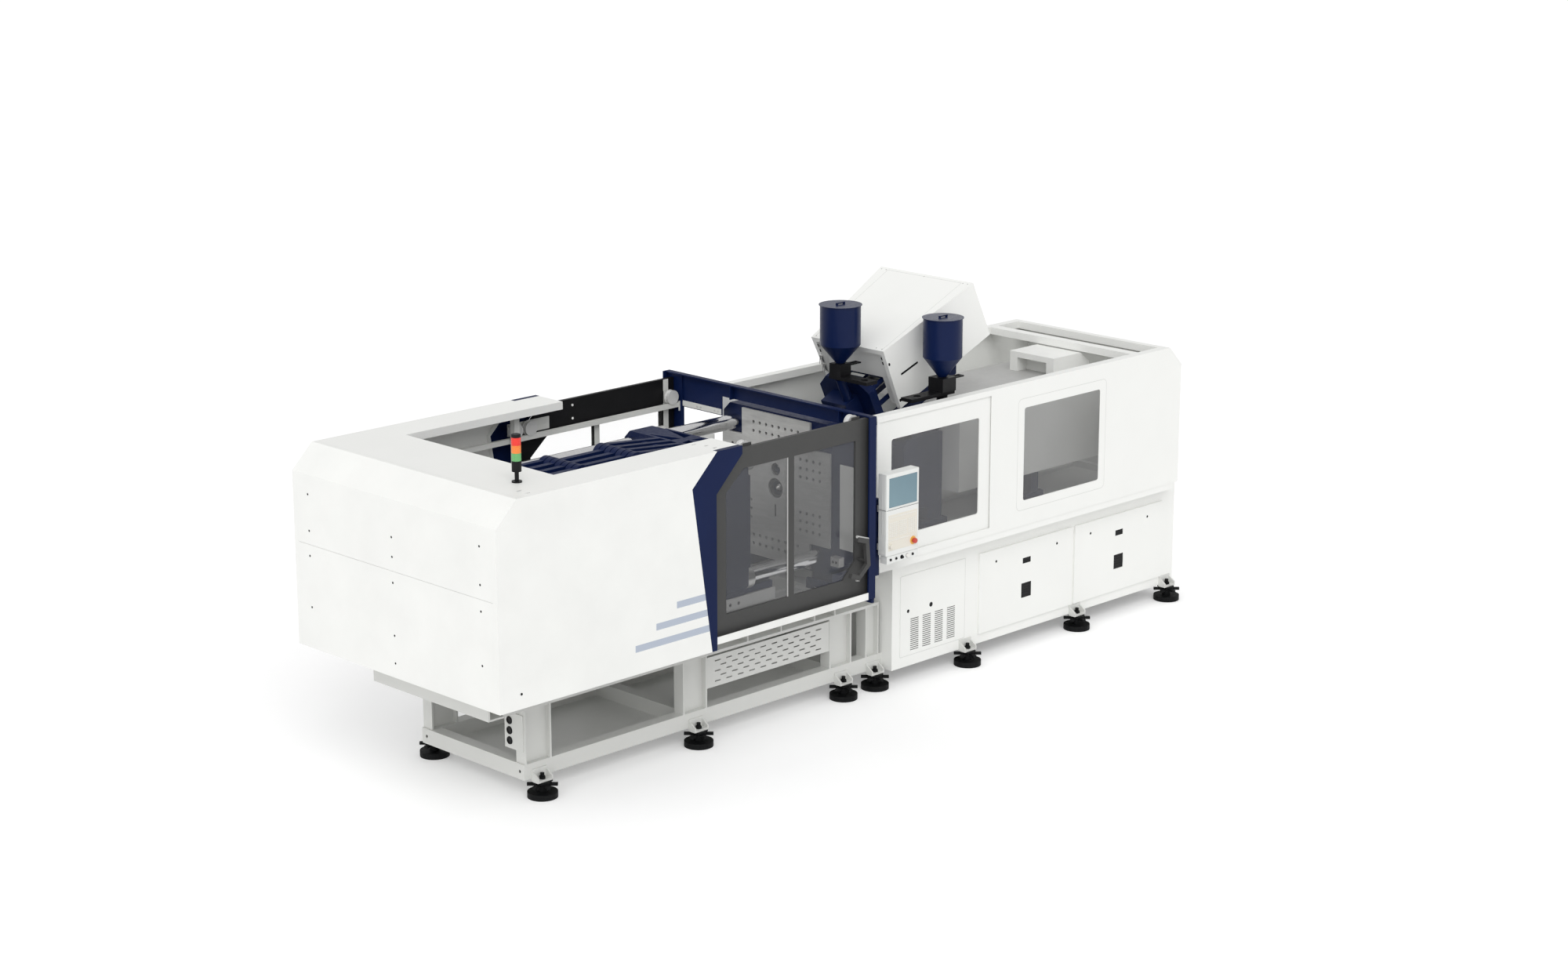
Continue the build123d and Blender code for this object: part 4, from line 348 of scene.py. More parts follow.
def screen_material():
    """Dark glass with one soft slanting band of reflected light."""
    shade_blue, light_blue = (0.13, 0.22, 0.27), (0.19, 0.30, 0.35)
    n = Nodes("screen_glass")
    across = n.math("ADD", n.math("MULTIPLY", n.axis("Z"), 1.6), n.math("MULTIPLY", n.axis("X"), 0.8))
    drift = n.math("ADD", across, n.math("MULTIPLY", n.noise(9.0), 0.25))
    wave = n.math("FRACT", n.math("MULTIPLY", drift, 0.55))
    n.surface("Base Color", n.ramp(wave, [(0.0, shade_blue), (0.5, light_blue), (1.0, shade_blue)]))
    n.surface("Roughness", n.span(n.noise(60.0), 0.16, 0.24))
    return n


# Each hopper: word, station, y, foot's z, neck's height, cone's height and drum's radius
HOPPERS = (
    ("one", 4383.0, -90.0, 2408.0, 125.0, 150.0, 161.0),
    ("two", 4955.0, -655.0, 2283.0, 139.0, 159.0, 155.5),
)

# The tests name an axis and the two limits between which a part has its second colour, in metres
fixed_mat = castings("fixed_platen_casting", [("X", S(3754.0), S(3774.5)), ("Y", -0.5905, 0.5905)])
moving_mat = castings("moving_platen_casting", [("X", S(2934.2), S(2936.0)), ("Y", -0.562, 0.562)])
cover_mat = striped_cover()
pane = pane_material("grey_tinted_sheet", (0.125, 0.127, 0.131), 0.34)
guard_sheet = pane_material("light_grey_sheet", (0.24, 0.24, 0.245), 0.26)
clear_pane = pane_material("clear_sheet", (0.6, 0.61, 0.61), 0.06)
lens = lens_material()
screen = screen_material()
hopper_mats = {}
for word, _, _, base, neck, _, _ in HOPPERS:
    foot = [("Z", 0.0, (base + neck - 0.1) / MM)]
    hopper_mats[word] = two_tone(
        "hopper_" + word + "_paint", NAVY_HOPPER, BLACK, foot, 0.34, coat=0.05, shine=0.15
    )
beam_mat = two_tone("beam_and_way_coat", FRAME, GREY_WAY, [("Z", 0.9142, 0.9360)], 0.4)
# The unit cover is white, with its top painted darker grey as painted shade
cover_shaded_top_mat = two_tone("unit_cover_painted_top_shade", WHITE, TOP_PAINTED_SHADE, [("Z", 2.0440, 2.0460)], 0.42)
sill_mat = two_tone("rail_and_sill_coat", FRAME, WHITE, [("Z", 0.9, 1.04)], 0.42)
incline_mat = carriage_paint("inclined_carriage_paint", [("Z", 2.4075, 2.4400)])
unit_mat = carriage_paint("horizontal_carriage_paint", [("Z", 1.8505, 2.3300), ("X", S(4400.0), S(5300.0))])

looks = {
    "lower_rails": frame_coat, "upper_beams": beam_mat, "perforated_panels": frame_coat,
    "cover_frame": frame_coat, "levelling_feet": rubber, "posts_and_brackets": frame_coat,
    "end_platen": navy, "fixed_platen": fixed_mat, "tie_bars": chrome, "nuts_and_end_pins": ground,
    "moving_platen": moving_mat, "bushes_and_pins": ground, "rear_links_upper": navy,
    "rear_links_lower": navy, "front_links_upper": navy, "front_links_lower": navy,
    "drive_links_upper": navy, "drive_links_lower": navy, "crosshead": navy, "ball_screw": ground,
    "clamp_drive": black, "ejector_plate": ground, "clamp_covers": cover_mat, "top_cover": white,
    "signal_tower": black, "signal_lenses": lens, "portal_and_trims": navy, "door_tracks": sill_mat,
    "front_door_frame": dark, "front_door_panes": pane, "front_door_fittings": dark,
    # The rear door frame is dark grey like the front one; its black here is painted shade
    "rear_door_frame": black, "rear_door_panes": clear_pane,
    "rear_door_fittings": frame_coat, "front_roller_1": roller, "front_roller_2": roller,
    "rear_roller_1": roller, "rear_roller_2": roller, "rear_roller_3": roller, "injection_base": white,
    "cabinet_panels": white, "injection_guard": white, "guard_pane": guard_sheet, "sliding_guard": white,
    "sliding_pane": guard_sheet, "operator_panel": hmi, "emergency_stop": red, "key_switch": black,
    "strip_knob": key_white, "panel_knob": cream, "unit_carriage": unit_mat, "unit_barrel": turned,
    "unit_cover": cover_shaded_top_mat, "incline_carriage": incline_mat, "incline_barrel": turned,
    "incline_shroud": white, "hopper_one": hopper_mats["one"], "hopper_two": hopper_mats["two"],
    "hopper_lid_one": hopper_paint, "hopper_lid_two": hopper_paint,
}
for name, look in looks.items():
    data = nodes[name].data
    data.materials.clear()
    data.materials.append(look.mat)
    for polygon in data.polygons:
        polygon.material_index = 0


# Piece builders
def seat(obj, look, body):
    """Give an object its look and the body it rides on."""
    obj.data.materials.append(look.mat)
    scene.collection.objects.link(obj)
    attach(obj, body)
    return obj


def piece(name, bm, look, body):
    mesh = bpy.data.meshes.new(name)
    bmesh.ops.recalc_face_normals(bm, faces=bm.faces)
    bm.to_mesh(mesh)
    bm.free()
    return seat(bpy.data.objects.new(name, mesh), look, body)


def bevel_cube(bm, corners, bevel, segments, **options):
    edges = list({e for v in corners for e in v.link_edges})
    bmesh.ops.bevel(bm, geom=edges, offset=bevel, segments=segments, affect="EDGES", **options)


def add_box(bm, low, high, bevel, segments=1):
    low, high = Vector(low), Vector(high)
    made = bmesh.ops.create_cube(bm, size=1.0)
    centre = (low + high) / 2
    size = high - low
    for v in made["verts"]:
        v.co = Vector((v.co.x * abs(size.x), v.co.y * abs(size.y), v.co.z * abs(size.z))) + centre
    if bevel:
        bevel_cube(bm, made["verts"], bevel, segments, profile=0.6)


def boxes(name, corners, bevel, look, body, segments=1):
    """One piece of boxes, each given as its low and high corner in stations and millimetres."""
    bm = bmesh.new()
    for low, high in corners:
        add_box(bm, P(*low), P(*high), bevel, segments)
    piece(name, bm, look, body)


def close_strip(bm, first, second):
    """Faces between two loops of the same number of corners."""
    for k in range(len(first)):
        j = (k + 1) % len(first)
        bm.faces.new((first[k], second[k], second[j], first[j]))


def add_plate(bm, front, back):
    """Plate between two outlines of points."""
    front = [bm.verts.new(point) for point in front]
    back = [bm.verts.new(point) for point in back]
    bm.faces.new(front)
    bm.faces.new(back[::-1])
    close_strip(bm, front, back)


def axis_matrix(axis):
    """Turns +Z to the named direction. A matrix is passed through."""
    turns = {"-X": (-90, "Y"), "-Y": (90, "X"), "+Y": (-90, "X")}
    if not isinstance(axis, str):
        return axis
    angle, about = turns[axis]
    return Matrix.Rotation(math.radians(angle), 4, about)


def add_lathe(bm, centre, axis, profile, segments):
    """Revolves (radius, height) points about the axis through centre."""
    turn = axis_matrix(axis)
    rings = []
    for radius, height in profile:
        if radius < 1e-6:
            rings.append([bm.verts.new(Vector(centre) + turn @ Vector((0, 0, height)))])
            continue
        ring = []
        for k in range(segments):
            angle = 2 * math.pi * k / segments
            point = Vector((radius * math.cos(angle), radius * math.sin(angle), height))
            ring.append(bm.verts.new(Vector(centre) + turn @ point))
        rings.append(ring)
    for a, b in zip(rings, rings[1:]):
        for k in range(segments):
            j = (k + 1) % segments
            if len(a) == 1 and len(b) > 1:
                bm.faces.new((a[0], b[j], b[k]))
            elif len(b) == 1 and len(a) > 1:
                bm.faces.new((a[k], a[j], b[0]))
            elif len(a) > 1:
                bm.faces.new((a[k], a[j], b[j], b[k]))


def lathed(name, parts, axis, look, body, segments=20):
    """One piece of revolved parts, each given as its centre and its profile."""
    bm = bmesh.new()
    for centre, profile in parts:
        add_lathe(bm, centre, axis, profile, segments)
    piece(name, bm, look, body)


def screws(name, places, axis, radius, height, look, body):
    """Round heads with a socket, as one piece."""
    r, h = radius, height
    head = [(r, 0), (r, h * 0.8), (r * 0.86, h), (r * 0.5, h), (r * 0.5, h * 0.35), (0, h * 0.35)]
    lathed(name, [(place, head) for place in places], axis, look, body, 16)


def tube(name, points, radius, look, body):
    """Round rod along a line of points."""
    curve = bpy.data.curves.new(name, "CURVE")
    curve.dimensions = "3D"
    curve.bevel_depth = radius
    curve.bevel_resolution = 3
    curve.resolution_u = 6
    curve.use_fill_caps = True
    spline = curve.splines.new("POLY")
    spline.points.add(len(points) - 1)
    for target, point in zip(spline.points, points):
        target.co = (*point, 1.0)
    seat(bpy.data.objects.new(name, curve), look, body)


# Lock screws of the clamp covers
END_LOCKS = (
    (-961, 2088), (961, 2088), (0, 1961), (0, 1818), (-961, 1817), (961, 1817),
    (-963, 1630), (963, 1630), (0, 1630), (-963, 1244), (963, 1244), (0, 1244), (0, 1040),
)
lock_disc = [(0.0085, -0.0005), (0.0085, 0.0002), (0.0, 0.0002)]
end_locks = [(P(0.0, y, z), lock_disc) for y, z in END_LOCKS]
lathed("end_panel_locks", end_locks, "-X", black, "machine")
for side, word, out in SIDES:
    screws("cover_lock_" + word, [P(192, side * 1139.2, 1039)], out, 0.009, 0.003, black, "machine")

# Operator panel: screen, bezel, keypad, stop plate, strip and joint
PANEL_FACE = -1139.0
PANEL_SIDE = 3810.0
STRIP_Z = 1242.0
screen_box = ((3836, PANEL_FACE - 0.6, 1652), (4148, PANEL_FACE + 4.0, 1883))
boxes("panel_screen", [screen_box], 0.0015, screen, "panel")
BEZEL_BARS = (
    ((3826, 1883), (4158, 1892)), ((3826, 1643), (4158, 1652)),
    ((3826, 1652), (3836, 1883)), ((4148, 1652), (4158, 1883)),
)
bezel = [((x0, PANEL_FACE - 3.0, z0), (x1, PANEL_FACE + 1.0, z1)) for (x0, z0), (x1, z1) in BEZEL_BARS]
boxes("panel_bezel", bezel, 0.001, hmi, "panel")
keypad_box = ((3832, PANEL_FACE - 1.0, 1312), (4152, PANEL_FACE + 1.0, 1594))
boxes("keypad_field", [keypad_box], 0.0012, cream, "panel")
# Each block of keys: first key's station and z, columns, rows and the pitch of both
KEY_BLOCKS = (
    (3842, 1420, 7, 8, 14.5, 15.0), (3952, 1420, 6, 8, 14.5, 15.0), (4050, 1420, 6, 8, 14.5, 15.0),
    (3842, 1570, 20, 1, 14.8, 15.0), (3842, 1390, 20, 1, 14.8, 15.0),
)
KEY_WIDTH, KEY_HEIGHT = 10.5, 10.0
keys = []
for first_x, first_z, columns, rows, pitch_x, pitch_z in KEY_BLOCKS:
    for i in range(columns):
        for j in range(rows):
            x = first_x + i * pitch_x
            z = first_z + j * pitch_z
            keys.append(((x, PANEL_FACE - 3.6, z), (x + KEY_WIDTH, PANEL_FACE - 1.4, z + KEY_HEIGHT)))
boxes("keypad_keys", keys, 0.0009, key_white, "panel")
stop_ring = [(0.0135, 0), (0.0135, 0.0035), (0.031, 0.0025), (0.033, 0.001), (0.033, 0)]
stop_plate = [(P(4107, PANEL_FACE - 1.0, 1351), stop_ring)]
lathed("stop_plate", stop_plate, "-Y", amber, "panel", 32)
push_button = [(0.0105, 0), (0.0105, 0.005), (0.009, 0.007), (0.0, 0.0075)]
knob_plate = [(0.0165, 0), (0.0165, 0.0008), (0.0155, 0.001), (0.0, 0.001)]
strip_parts = [(P(x, PANEL_FACE, STRIP_Z), push_button) for x in (3859.0, 3921.0, 4105.0)]
strip_parts += [(P(x, PANEL_FACE, STRIP_Z), knob_plate) for x in (3984.0, 4045.0)]
lathed("strip_buttons", strip_parts, "-Y", black, "panel")
joint = [
    ((3812, PANEL_FACE - 0.6, 1632), (4170, PANEL_FACE - 0.1, 1635)),
    ((PANEL_SIDE - 0.6, PANEL_FACE + 4, 1632), (PANEL_SIDE, -1052, 1635)),
]
boxes("panel_joint", joint, 0.0, black, "panel")

# Black grip inserts and lock screws of the cabinet panels
CABINETS = ((5376.0, 6545.0), (6576.0, 7742.0))
RIB_PITCH, RIB_HEIGHT = 22, 8
grips = []
for side, _, _ in SIDES:
    insert = y_span(side, 704.5, 708.0)
    rib = y_span(side, 708.0, 711.0)
    for start, _ in CABINETS:
        latch = start + 533.0
        for x0, x1, z0, z1 in ((latch, latch + 101, 703, 751), (latch - 12, latch + 112, 411, 536)):
            grips.append(((x0 - 4, insert[0], z0 - 4), (x1 + 4, insert[1], z1 + 4)))
            for k in range((z1 - z0) // RIB_PITCH):
                z = z0 + 10 + k * RIB_PITCH
                grips.append(((x0 + 8, rib[0], z), (x1 - 8, rib[1], z + RIB_HEIGHT)))
boxes("cabinet_grips", grips, 0.001, black, "machine")
for side, word, out in SIDES:
    places = [P(x, side * 709.0, 792.0) for start, end in CABINETS for x in (start + 202.0, end - 204.0)]
    screws("cabinet_locks_" + word, places, out, 0.0105, 0.0035, black, "machine")

# Black sheets behind the louvres and two round holes above them as painted shade, and the louvres' hoods
LOUVRE_COLUMNS = (4620.0, 4763.0, 4906.0, 5051.0)
LOUVRE_HALF, LOUVRE_LOW, LOUVRE_PITCH, LOUVRE_COUNT = 48, 262.0, 17.0, 16
HOLES_Z = 589
shade_sheets, hoods = [], []
for side, _, _ in SIDES:
    low, high = y_span(side, 694.1, 694.8)
    for column in LOUVRE_COLUMNS:
        shade_sheets.append(((column - LOUVRE_HALF, low, 255.0), (column + LOUVRE_HALF, high, 525.0)))
    for x, r in ((4544.0, 15.0), (4812.0, 20.0)):
        shade_sheets.append(((x - r, low, HOLES_Z - r), (x + r, high, HOLES_Z + r)))
    low, high = y_span(side, 697.0, 700.5)
    for column in LOUVRE_COLUMNS:
        for k in range(LOUVRE_COUNT):
            z = LOUVRE_LOW + k * LOUVRE_PITCH
            hoods.append(((column - LOUVRE_HALF, low, z + 3.5), (column + LOUVRE_HALF, high, z + 6.5)))
boxes("louvre_shade_sheets", shade_sheets, 0.0, black, "machine")
boxes("louvre_hoods", hoods, 0.0012, white, "machine")

# Door handles: light edge band along the grip, as stations and z
HANDLE_PATH = ((3445.0, 1515.0), (3563.0, 1478.0), (3582.0, 1273.0), (3468.0, 1173.0), (3440.0, 1178.0))
for side, word, _ in SIDES:
    body = word + "_door"
    points = [P(x, side * 1179.0, z) for x, z in HANDLE_PATH]
    tube(body + "_handle_band", points, 0.0105, grey_paint, body)

# The incline of the second unit: u along it, y across and w square to it, in millimetres
tilt = math.radians(25.3)
up = Vector((-math.sin(tilt), 0, math.cos(tilt)))
along = Vector((math.cos(tilt), 0, math.sin(tilt)))
origin = P(3755.0, 0.0, 1766.0)


def incline(u, y, w):
    return origin + along * (u / MM) + up * (w / MM) + Vector((0, y / MM, 0))


def to_incline(station, z):
    d = P(station, 0.0, z) - origin
    return d.dot(along) * MM, d.dot(up) * MM


# The shroud: half widths of its ends, its near end's u, its roof's w, its length and its sides' depth
NEAR_HALF, FAR_HALF = 396.0, 504.0
SHROUD_U, SHROUD_W = 1094.5, 452.7
SHROUD_LONG, SHROUD_DEEP = 1022.0, 552.0
SHROUD_LEAN = 26.0


def shroud_half(u, w):
    """Half width of the shroud's side at a place along and across the incline."""
    share = (u - SHROUD_U) / SHROUD_LONG
    down = (SHROUD_W - w) / SHROUD_DEEP
    return NEAR_HALF + (FAR_HALF - NEAR_HALF) * share - SHROUD_LEAN * (1 - share) * down


# Screws along both ends of the shroud's roof
roof = Matrix(((up.z, 0, up.x), (0, 1, 0), (-up.x, 0, up.z))).to_4x4()
roof_screws = [incline(1120.0, y, 452.8) for y in (-360, -300, 0, 300, 360)]
roof_screws += [incline(2085.0, y, 452.8) for y in (-470, -420, 0, 420, 470)]
screws("shroud_screws", roof_screws, roof, 0.0055, 0.002, grey_paint, "inclined_unit")


def side_patch(bm, outline, side):
    """Thin plate on the shroud's side, from (station, z) points."""
    proud, sunk = 0.8, 0.5
    front, back = [], []
    for station, z in outline:
        u, w = to_incline(station, z)
        half = shroud_half(u, w)
        front.append(incline(u, side * (half + proud), w))
        back.append(incline(u, side * (half - sunk), w))
    add_plate(bm, front, back)


def round_slot(x0, z0, x1, z1, radius):
    """Outline of a slot with round ends between two places."""
    segments = 9
    angle = math.atan2(z1 - z0, x1 - x0)
    points = []
    for cx, cz, start in ((x1, z1, -90.0), (x0, z0, 90.0)):
        for k in range(segments):
            a = angle + math.radians(start + 180.0 * k / (segments - 1))
            points.append((cx + radius * math.cos(a), cz + radius * math.sin(a)))
    return points


# Long slot and two holes in each side of the shroud, as thin black plates of painted shade
bm = bmesh.new()
for side, _, _ in SIDES:
    side_patch(bm, round_slot(4766.0, 2430.0, 4922.0, 2502.0, 8.5), side)
    side_patch(bm, round_slot(4623.0, 2532.0, 4627.0, 2524.0, 9.0), side)
    side_patch(bm, round_slot(4773.0, 2217.0, 4776.0, 2209.0, 9.0), side)
piece("shroud_slot_shades", bm, black, "inclined_unit")


def rim_box(bm, middle, half, proud, bevel=0.001):
    """Box standing proud of the shroud's near rim, from its middle and half size in y and w."""
    made = bmesh.ops.create_cube(bm, size=1.0)
    for v in made["verts"]:
        y = middle[0] + 2 * half[0] * v.co.y
        w = middle[1] + 2 * half[1] * v.co.z
        v.co = incline(SHROUD_U + 1.0 - (v.co.x + 0.5) * (proud + 1.0), y, w)
    bevel_cube(bm, made["verts"], bevel, 1)


# Slots on the shroud's near rim as black boxes of painted shade, and its latches
LATCH_Y, LATCH_PROUD = 353.0, 13.0
bm = bmesh.new()
for side, _, _ in SIDES:
    for y, w in ((348.0, 376.0), (343.0, 330.0)):
        rim_box(bm, (side * y, w), (6.0, 13.0), 0.8, 0.0004)
piece("rim_slot_shades", bm, black, "inclined_unit")
bm = bmesh.new()
for w in (245.0, 165.0, -45.0):
    rim_box(bm, (LATCH_Y, w), (18.0, 34.0), 6.0)
    rim_box(bm, (LATCH_Y, w), (10.0, 24.0), LATCH_PROUD)
    centre = incline(SHROUD_U - LATCH_PROUD, LATCH_Y, w + 26.0)
    for dy in (-9.0, 9.0):
        low = centre + Vector((-0.003, (dy - 2.5) / MM, -0.055))
        high = centre + Vector((0.003, (dy + 2.5) / MM, 0.004))
        add_box(bm, low, high, 0.001)
piece("rim_latches", bm, ground, "inclined_unit")


def roof_line(bm, start, end):
    """Thin line on the shroud's roof between two (u, y) places."""
    wide = 2.2
    d = Vector(end) - Vector(start)
    step = Vector((-d.y, d.x)).normalized() * wide / 2
    spots = [Vector(start) + step, Vector(start) - step, Vector(end) - step, Vector(end) + step]
    top = [incline(u, y, SHROUD_W + 0.4) for u, y in spots]
    low = [incline(u, y, SHROUD_W - 0.5) for u, y in spots]
    add_plate(bm, top, low)


# Fold lines of the shroud's roof as grey lines of painted shade, and its far seam
seam_u, seam_half = SHROUD_U + SHROUD_LONG - 30.0, 402.0
bm = bmesh.new()
for side, _, _ in SIDES:
    roof_line(bm, (SHROUD_U + 12.0, side * 366.0), (seam_u, side * seam_half))
roof_line(bm, (seam_u, -seam_half), (seam_u, seam_half))
piece("shroud_fold_shade_and_seam", bm, grey_paint, "inclined_unit")

# Rear door: screws beside the slit and pale posts on its inner side
REAR_INNER = 1058.7
places = [P(2592.0, REAR_INNER, z) for z in (2298.0, 2193.0)]
screws("rear_door_screws", places, "-Y", 0.010, 0.005, white, "rear_door")
REAR_POSTS = (
    (2814.0, 2866.0, 1160.0, 2112.0), (3546.0, 3600.0, 1160.0, 2156.0), (3546.0, 3600.0, 2254.0, 2346.0),
)
posts = [((x0, 1054.0, z0), (x1, REAR_INNER + 0.1, z1)) for x0, x1, z0, z1 in REAR_POSTS]
boxes("rear_door_posts", posts, 0.0015, frame_coat, "rear_door")

# Pale strip beside the front door's mullion
strip_box = ((2801.0, -1088.0, 1165.3), (2808.8, -1079.3, 2224.7))
boxes("front_door_strip", [strip_box], 0.0008, pale_steel, "front_door")

# Navy gusset between the portal's rear post and the fixed platen, and the pale bracket at the rear rail
gusset_box = ((3684.0, 522.0, 2120.0), (3690.0, 1092.0, 2384.0))
boxes("portal_rear_gusset", [gusset_box], 0.0015, navy, "machine")
bracket = [
    ((3675.0, 530.0, 2128.0), (3683.6, 1010.0, 2172.0)),
    ((3655.0, 990.0, 2085.0), (3683.6, 998.0, 2165.0)),
]
boxes("rail_end_bracket", bracket, 0.0015, frame_coat, "machine")
bracket_places = [P(3675.0, y, 2150.0) for y in (560.0, 600.0, 760.0, 800.0)]
screws("rail_bracket_screws", bracket_places, "-X", 0.008, 0.004, ground, "machine")


def rounded_outline(x_span, z_span, radius):
    """Corner points of a rectangle with round corners."""
    steps = 6
    corners = (
        (x_span[1] - radius, z_span[1] - radius, 0.0),
        (x_span[0] + radius, z_span[1] - radius, 90.0),
        (x_span[0] + radius, z_span[0] + radius, 180.0),
        (x_span[1] - radius, z_span[0] + radius, 270.0),
    )
    points = []
    for centre_x, centre_z, start in corners:
        for step in range(steps + 1):
            angle = math.radians(start + 90.0 * step / steps)
            points.append((centre_x + radius * math.cos(angle), centre_z + radius * math.sin(angle)))
    return points


def seams(name, x_span, z_span, radius, face):
    """Thin raised outline on both long sides of the machine."""
    width, proud = 4.0, 0.5
    outer = rounded_outline(x_span, z_span, radius)
    inner = rounded_outline(
        (x_span[0] + width, x_span[1] - width), (z_span[0] + width, z_span[1] - width), radius - width
    )
    bm = bmesh.new()
    for side, _, _ in SIDES:
        at_face, at_top = side * face, side * face + side * proud
        loops = []
        for points, y in ((outer, at_face), (outer, at_top), (inner, at_top), (inner, at_face)):
            loops.append([bm.verts.new(P(x, y, z)) for x, z in points])
        for first, second in zip(loops, loops[1:] + loops[:1]):
            close_strip(bm, first, second)
    piece(name, bm, frame_coat, "machine")


# Thin seams around the guard's fixed window and the louvred panel
seams("window_seams", (5648.0, 6760.0), (1222.0, 2153.0), 45.0, 854.0)
seams("louvre_panel_seams", (4449.0, 5218.0), (219.0, 891.0), 8.0, 697.0)

# Ribs down the side of the operator panel
ribs = []
for y in (-1126.0, -1110.0, -1094.0, -1078.0, -1062.0):
    for z0, z1 in ((1290.0, 1625.0), (1642.0, 1900.0)):
        ribs.append(((PANEL_SIDE - 2.2, y - 3.0, z0), (PANEL_SIDE + 0.3, y + 3.0, z1)))
boxes("panel_side_ribs", ribs, 0.0011, hmi, "panel")

# Rings in the locating bores and the nozzles' steel tips
bore_rings = []
for z, r1, r0 in ((1614.0, 0.079, 0.057), (1766.0, 0.049, 0.0365)):
    profile = [(r0, 0.0), (r0, 0.014), (r0 + 0.006, 0.019), (r1 - 0.002, 0.019), (r1, 0.016), (r1, 0.0)]
    bore_rings.append((P(3784.0, 0.0, z), profile))
lathed("locating_rings", bore_rings, "-X", dark, "machine", 40)
tip = [
    (0.0275, -0.02), (0.0275, 0.004), (0.021, 0.008), (0.021, 0.014), (0.012, 0.024),
    (0.008, 0.028), (0.003, 0.028), (0.003, 0.02), (0, 0.02),
]
tip_one = [(P(3795.5, 0.0, 1614.0), tip)]
lathed("nozzle_tip_one", tip_one, "-X", turned, "horizontal_unit", 28)
along_back = Matrix(((up.x, 0, -along.x), (0, 1, 0), (up.z, 0, -along.z))).to_4x4()
tip_two = [(incline(62.0, 0.0, 0.0), [(radius * 0.7, height) for radius, height in tip])]
lathed("nozzle_tip_two", tip_two, along_back, turned, "inclined_unit", 24)

# Slide shoes under the moving platen reach forward on pale plates; their three holes are painted shade
SHOE_FACE, SHOE_INNER, SHOE_PLATE = 514.0, 394.0, 522.0
shoe_hole_shade = [(0.0135, 0.0), (0.0135, 0.0006), (0.0115, 0.0008), (0.0, 0.0008)]
shoe_screw_places = ((2990.0, 1008.0), (3160.0, 1012.0), (3205.0, 950.0), (3000.0, 955.0))
for side, word, out in SIDES:
    y0, y1 = y_span(side, SHOE_FACE, SHOE_INNER)
    tongue = ((2916.0, y0 + 4.0, 1034.5), (3219.0, y1 - 4.0, 1089.0))
    boxes("shoe_tongue_" + word, [tongue], 0.008, navy, "platen", 2)
    low, high = y_span(side, SHOE_FACE, SHOE_PLATE)
    plates = [
        ((2640.0, low, 936.0), (3235.0, high, 1033.5)),
        ((2916.0, y0 + 1.0, 936.0), (3235.0, y1 - 1.0, 1034.0)),
    ]
    boxes("shoe_plate_" + word, plates, 0.0015, pale_steel, "platen")
    plate_y = side * SHOE_PLATE
    holes = [(P(x, plate_y, 984.0), shoe_hole_shade) for x in (2668.0, 2758.0, 2846.0)]
    lathed("shoe_hole_shades_" + word, holes, out, dark, "platen")
    places = [P(x, plate_y, z) for x, z in shoe_screw_places]
    screws("shoe_screws_" + word, places, out, 0.007, 0.003, ground, "platen")

# Cleaning slot of the fixed platen as a black box of painted shade, and its side blocks
slot_shade_box = ((3754.2, -6.0, 1386.0), (3756.0, 6.0, 1482.0))
boxes("platen_slot_shade", [slot_shade_box], 0.0006, black, "machine")
for side, word, _ in SIDES:
    y0, y1 = y_span(side, 690.0, 600.4)
    block = ((3757.0, y0, 1105.0), (3815.0, y1, 1180.0))
    boxes("platen_block_" + word, [block], 0.003, pale_steel, "machine", 2)
    places = [P(3757.0, side * y, 1142.0) for y in (628.0, 662.0)]
    screws("platen_block_screws_" + word, places, "-X", 0.011, 0.003, dark, "machine")

# Plugs of the connector plate
plug = [(0.029, -0.012), (0.029, 0.005), (0.025, 0.008), (0.020, 0.008), (0.020, 0.003), (0, 0.003)]
plugs = [(P(671.0, -420.0, z), plug) for z in (560.0, 484.0, 408.0)]
lathed("connector_plugs", plugs, "-X", black, "machine", 28)

# Links of the cable chain: two side plates and a bar on top
CHAIN_START, CHAIN_PITCH, CHAIN_LINKS = 6106.0, 42.0, 16
chain = []
for k in range(CHAIN_LINKS):
    x = CHAIN_START + k * CHAIN_PITCH
    chain.append(((x, -334.0, 2045.4), (x + 36.0, -329.4, 2093.0)))
    chain.append(((x, -255.6, 2045.4), (x + 36.0, -251.0, 2093.0)))
    chain.append(((x + 6.0, -330.0, 2089.4), (x + 20.0, -255.0, 2094.0)))
boxes("cable_chain_links", chain, 0.0015, black, "horizontal_unit")

# Sight glass of each hopper's cone
CONE_FOOT_RADIUS, GLASS_LIFT, GLASS_TURN = 34.0, 1.2, math.radians(-12.0)
GLASS_ROWS, GLASS_COLUMNS, GLASS_STEP = 9, 5, 3.6
GLASS_START, GLASS_SHARE = 0.16, 0.72
for word, x, y, base, neck, cone, radius in HOPPERS:
    bm = bmesh.new()
    rows = []
    for k in range(GLASS_ROWS):
        part = GLASS_START + GLASS_SHARE * k / (GLASS_ROWS - 1)
        r = CONE_FOOT_RADIUS + (radius - CONE_FOOT_RADIUS) * part
        reach = r + GLASS_LIFT
        z = base + neck + cone * part
        row = []
        for j in range(GLASS_COLUMNS):
            a = GLASS_TURN + math.asin((j - GLASS_COLUMNS // 2) * GLASS_STEP / r)
            row.append(bm.verts.new(P(x + reach * math.cos(a), y + reach * math.sin(a), z)))
        rows.append(row)
    for a, b in zip(rows, rows[1:]):
        for j in range(GLASS_COLUMNS - 1):
            bm.faces.new((a[j], a[j + 1], b[j + 1], b[j]))
    glass = piece("hopper_" + word + "_sight", bm, black, "hopper_" + word + "_body")
    glass.modifiers.new("thick", "SOLIDIFY").thickness = 0.002

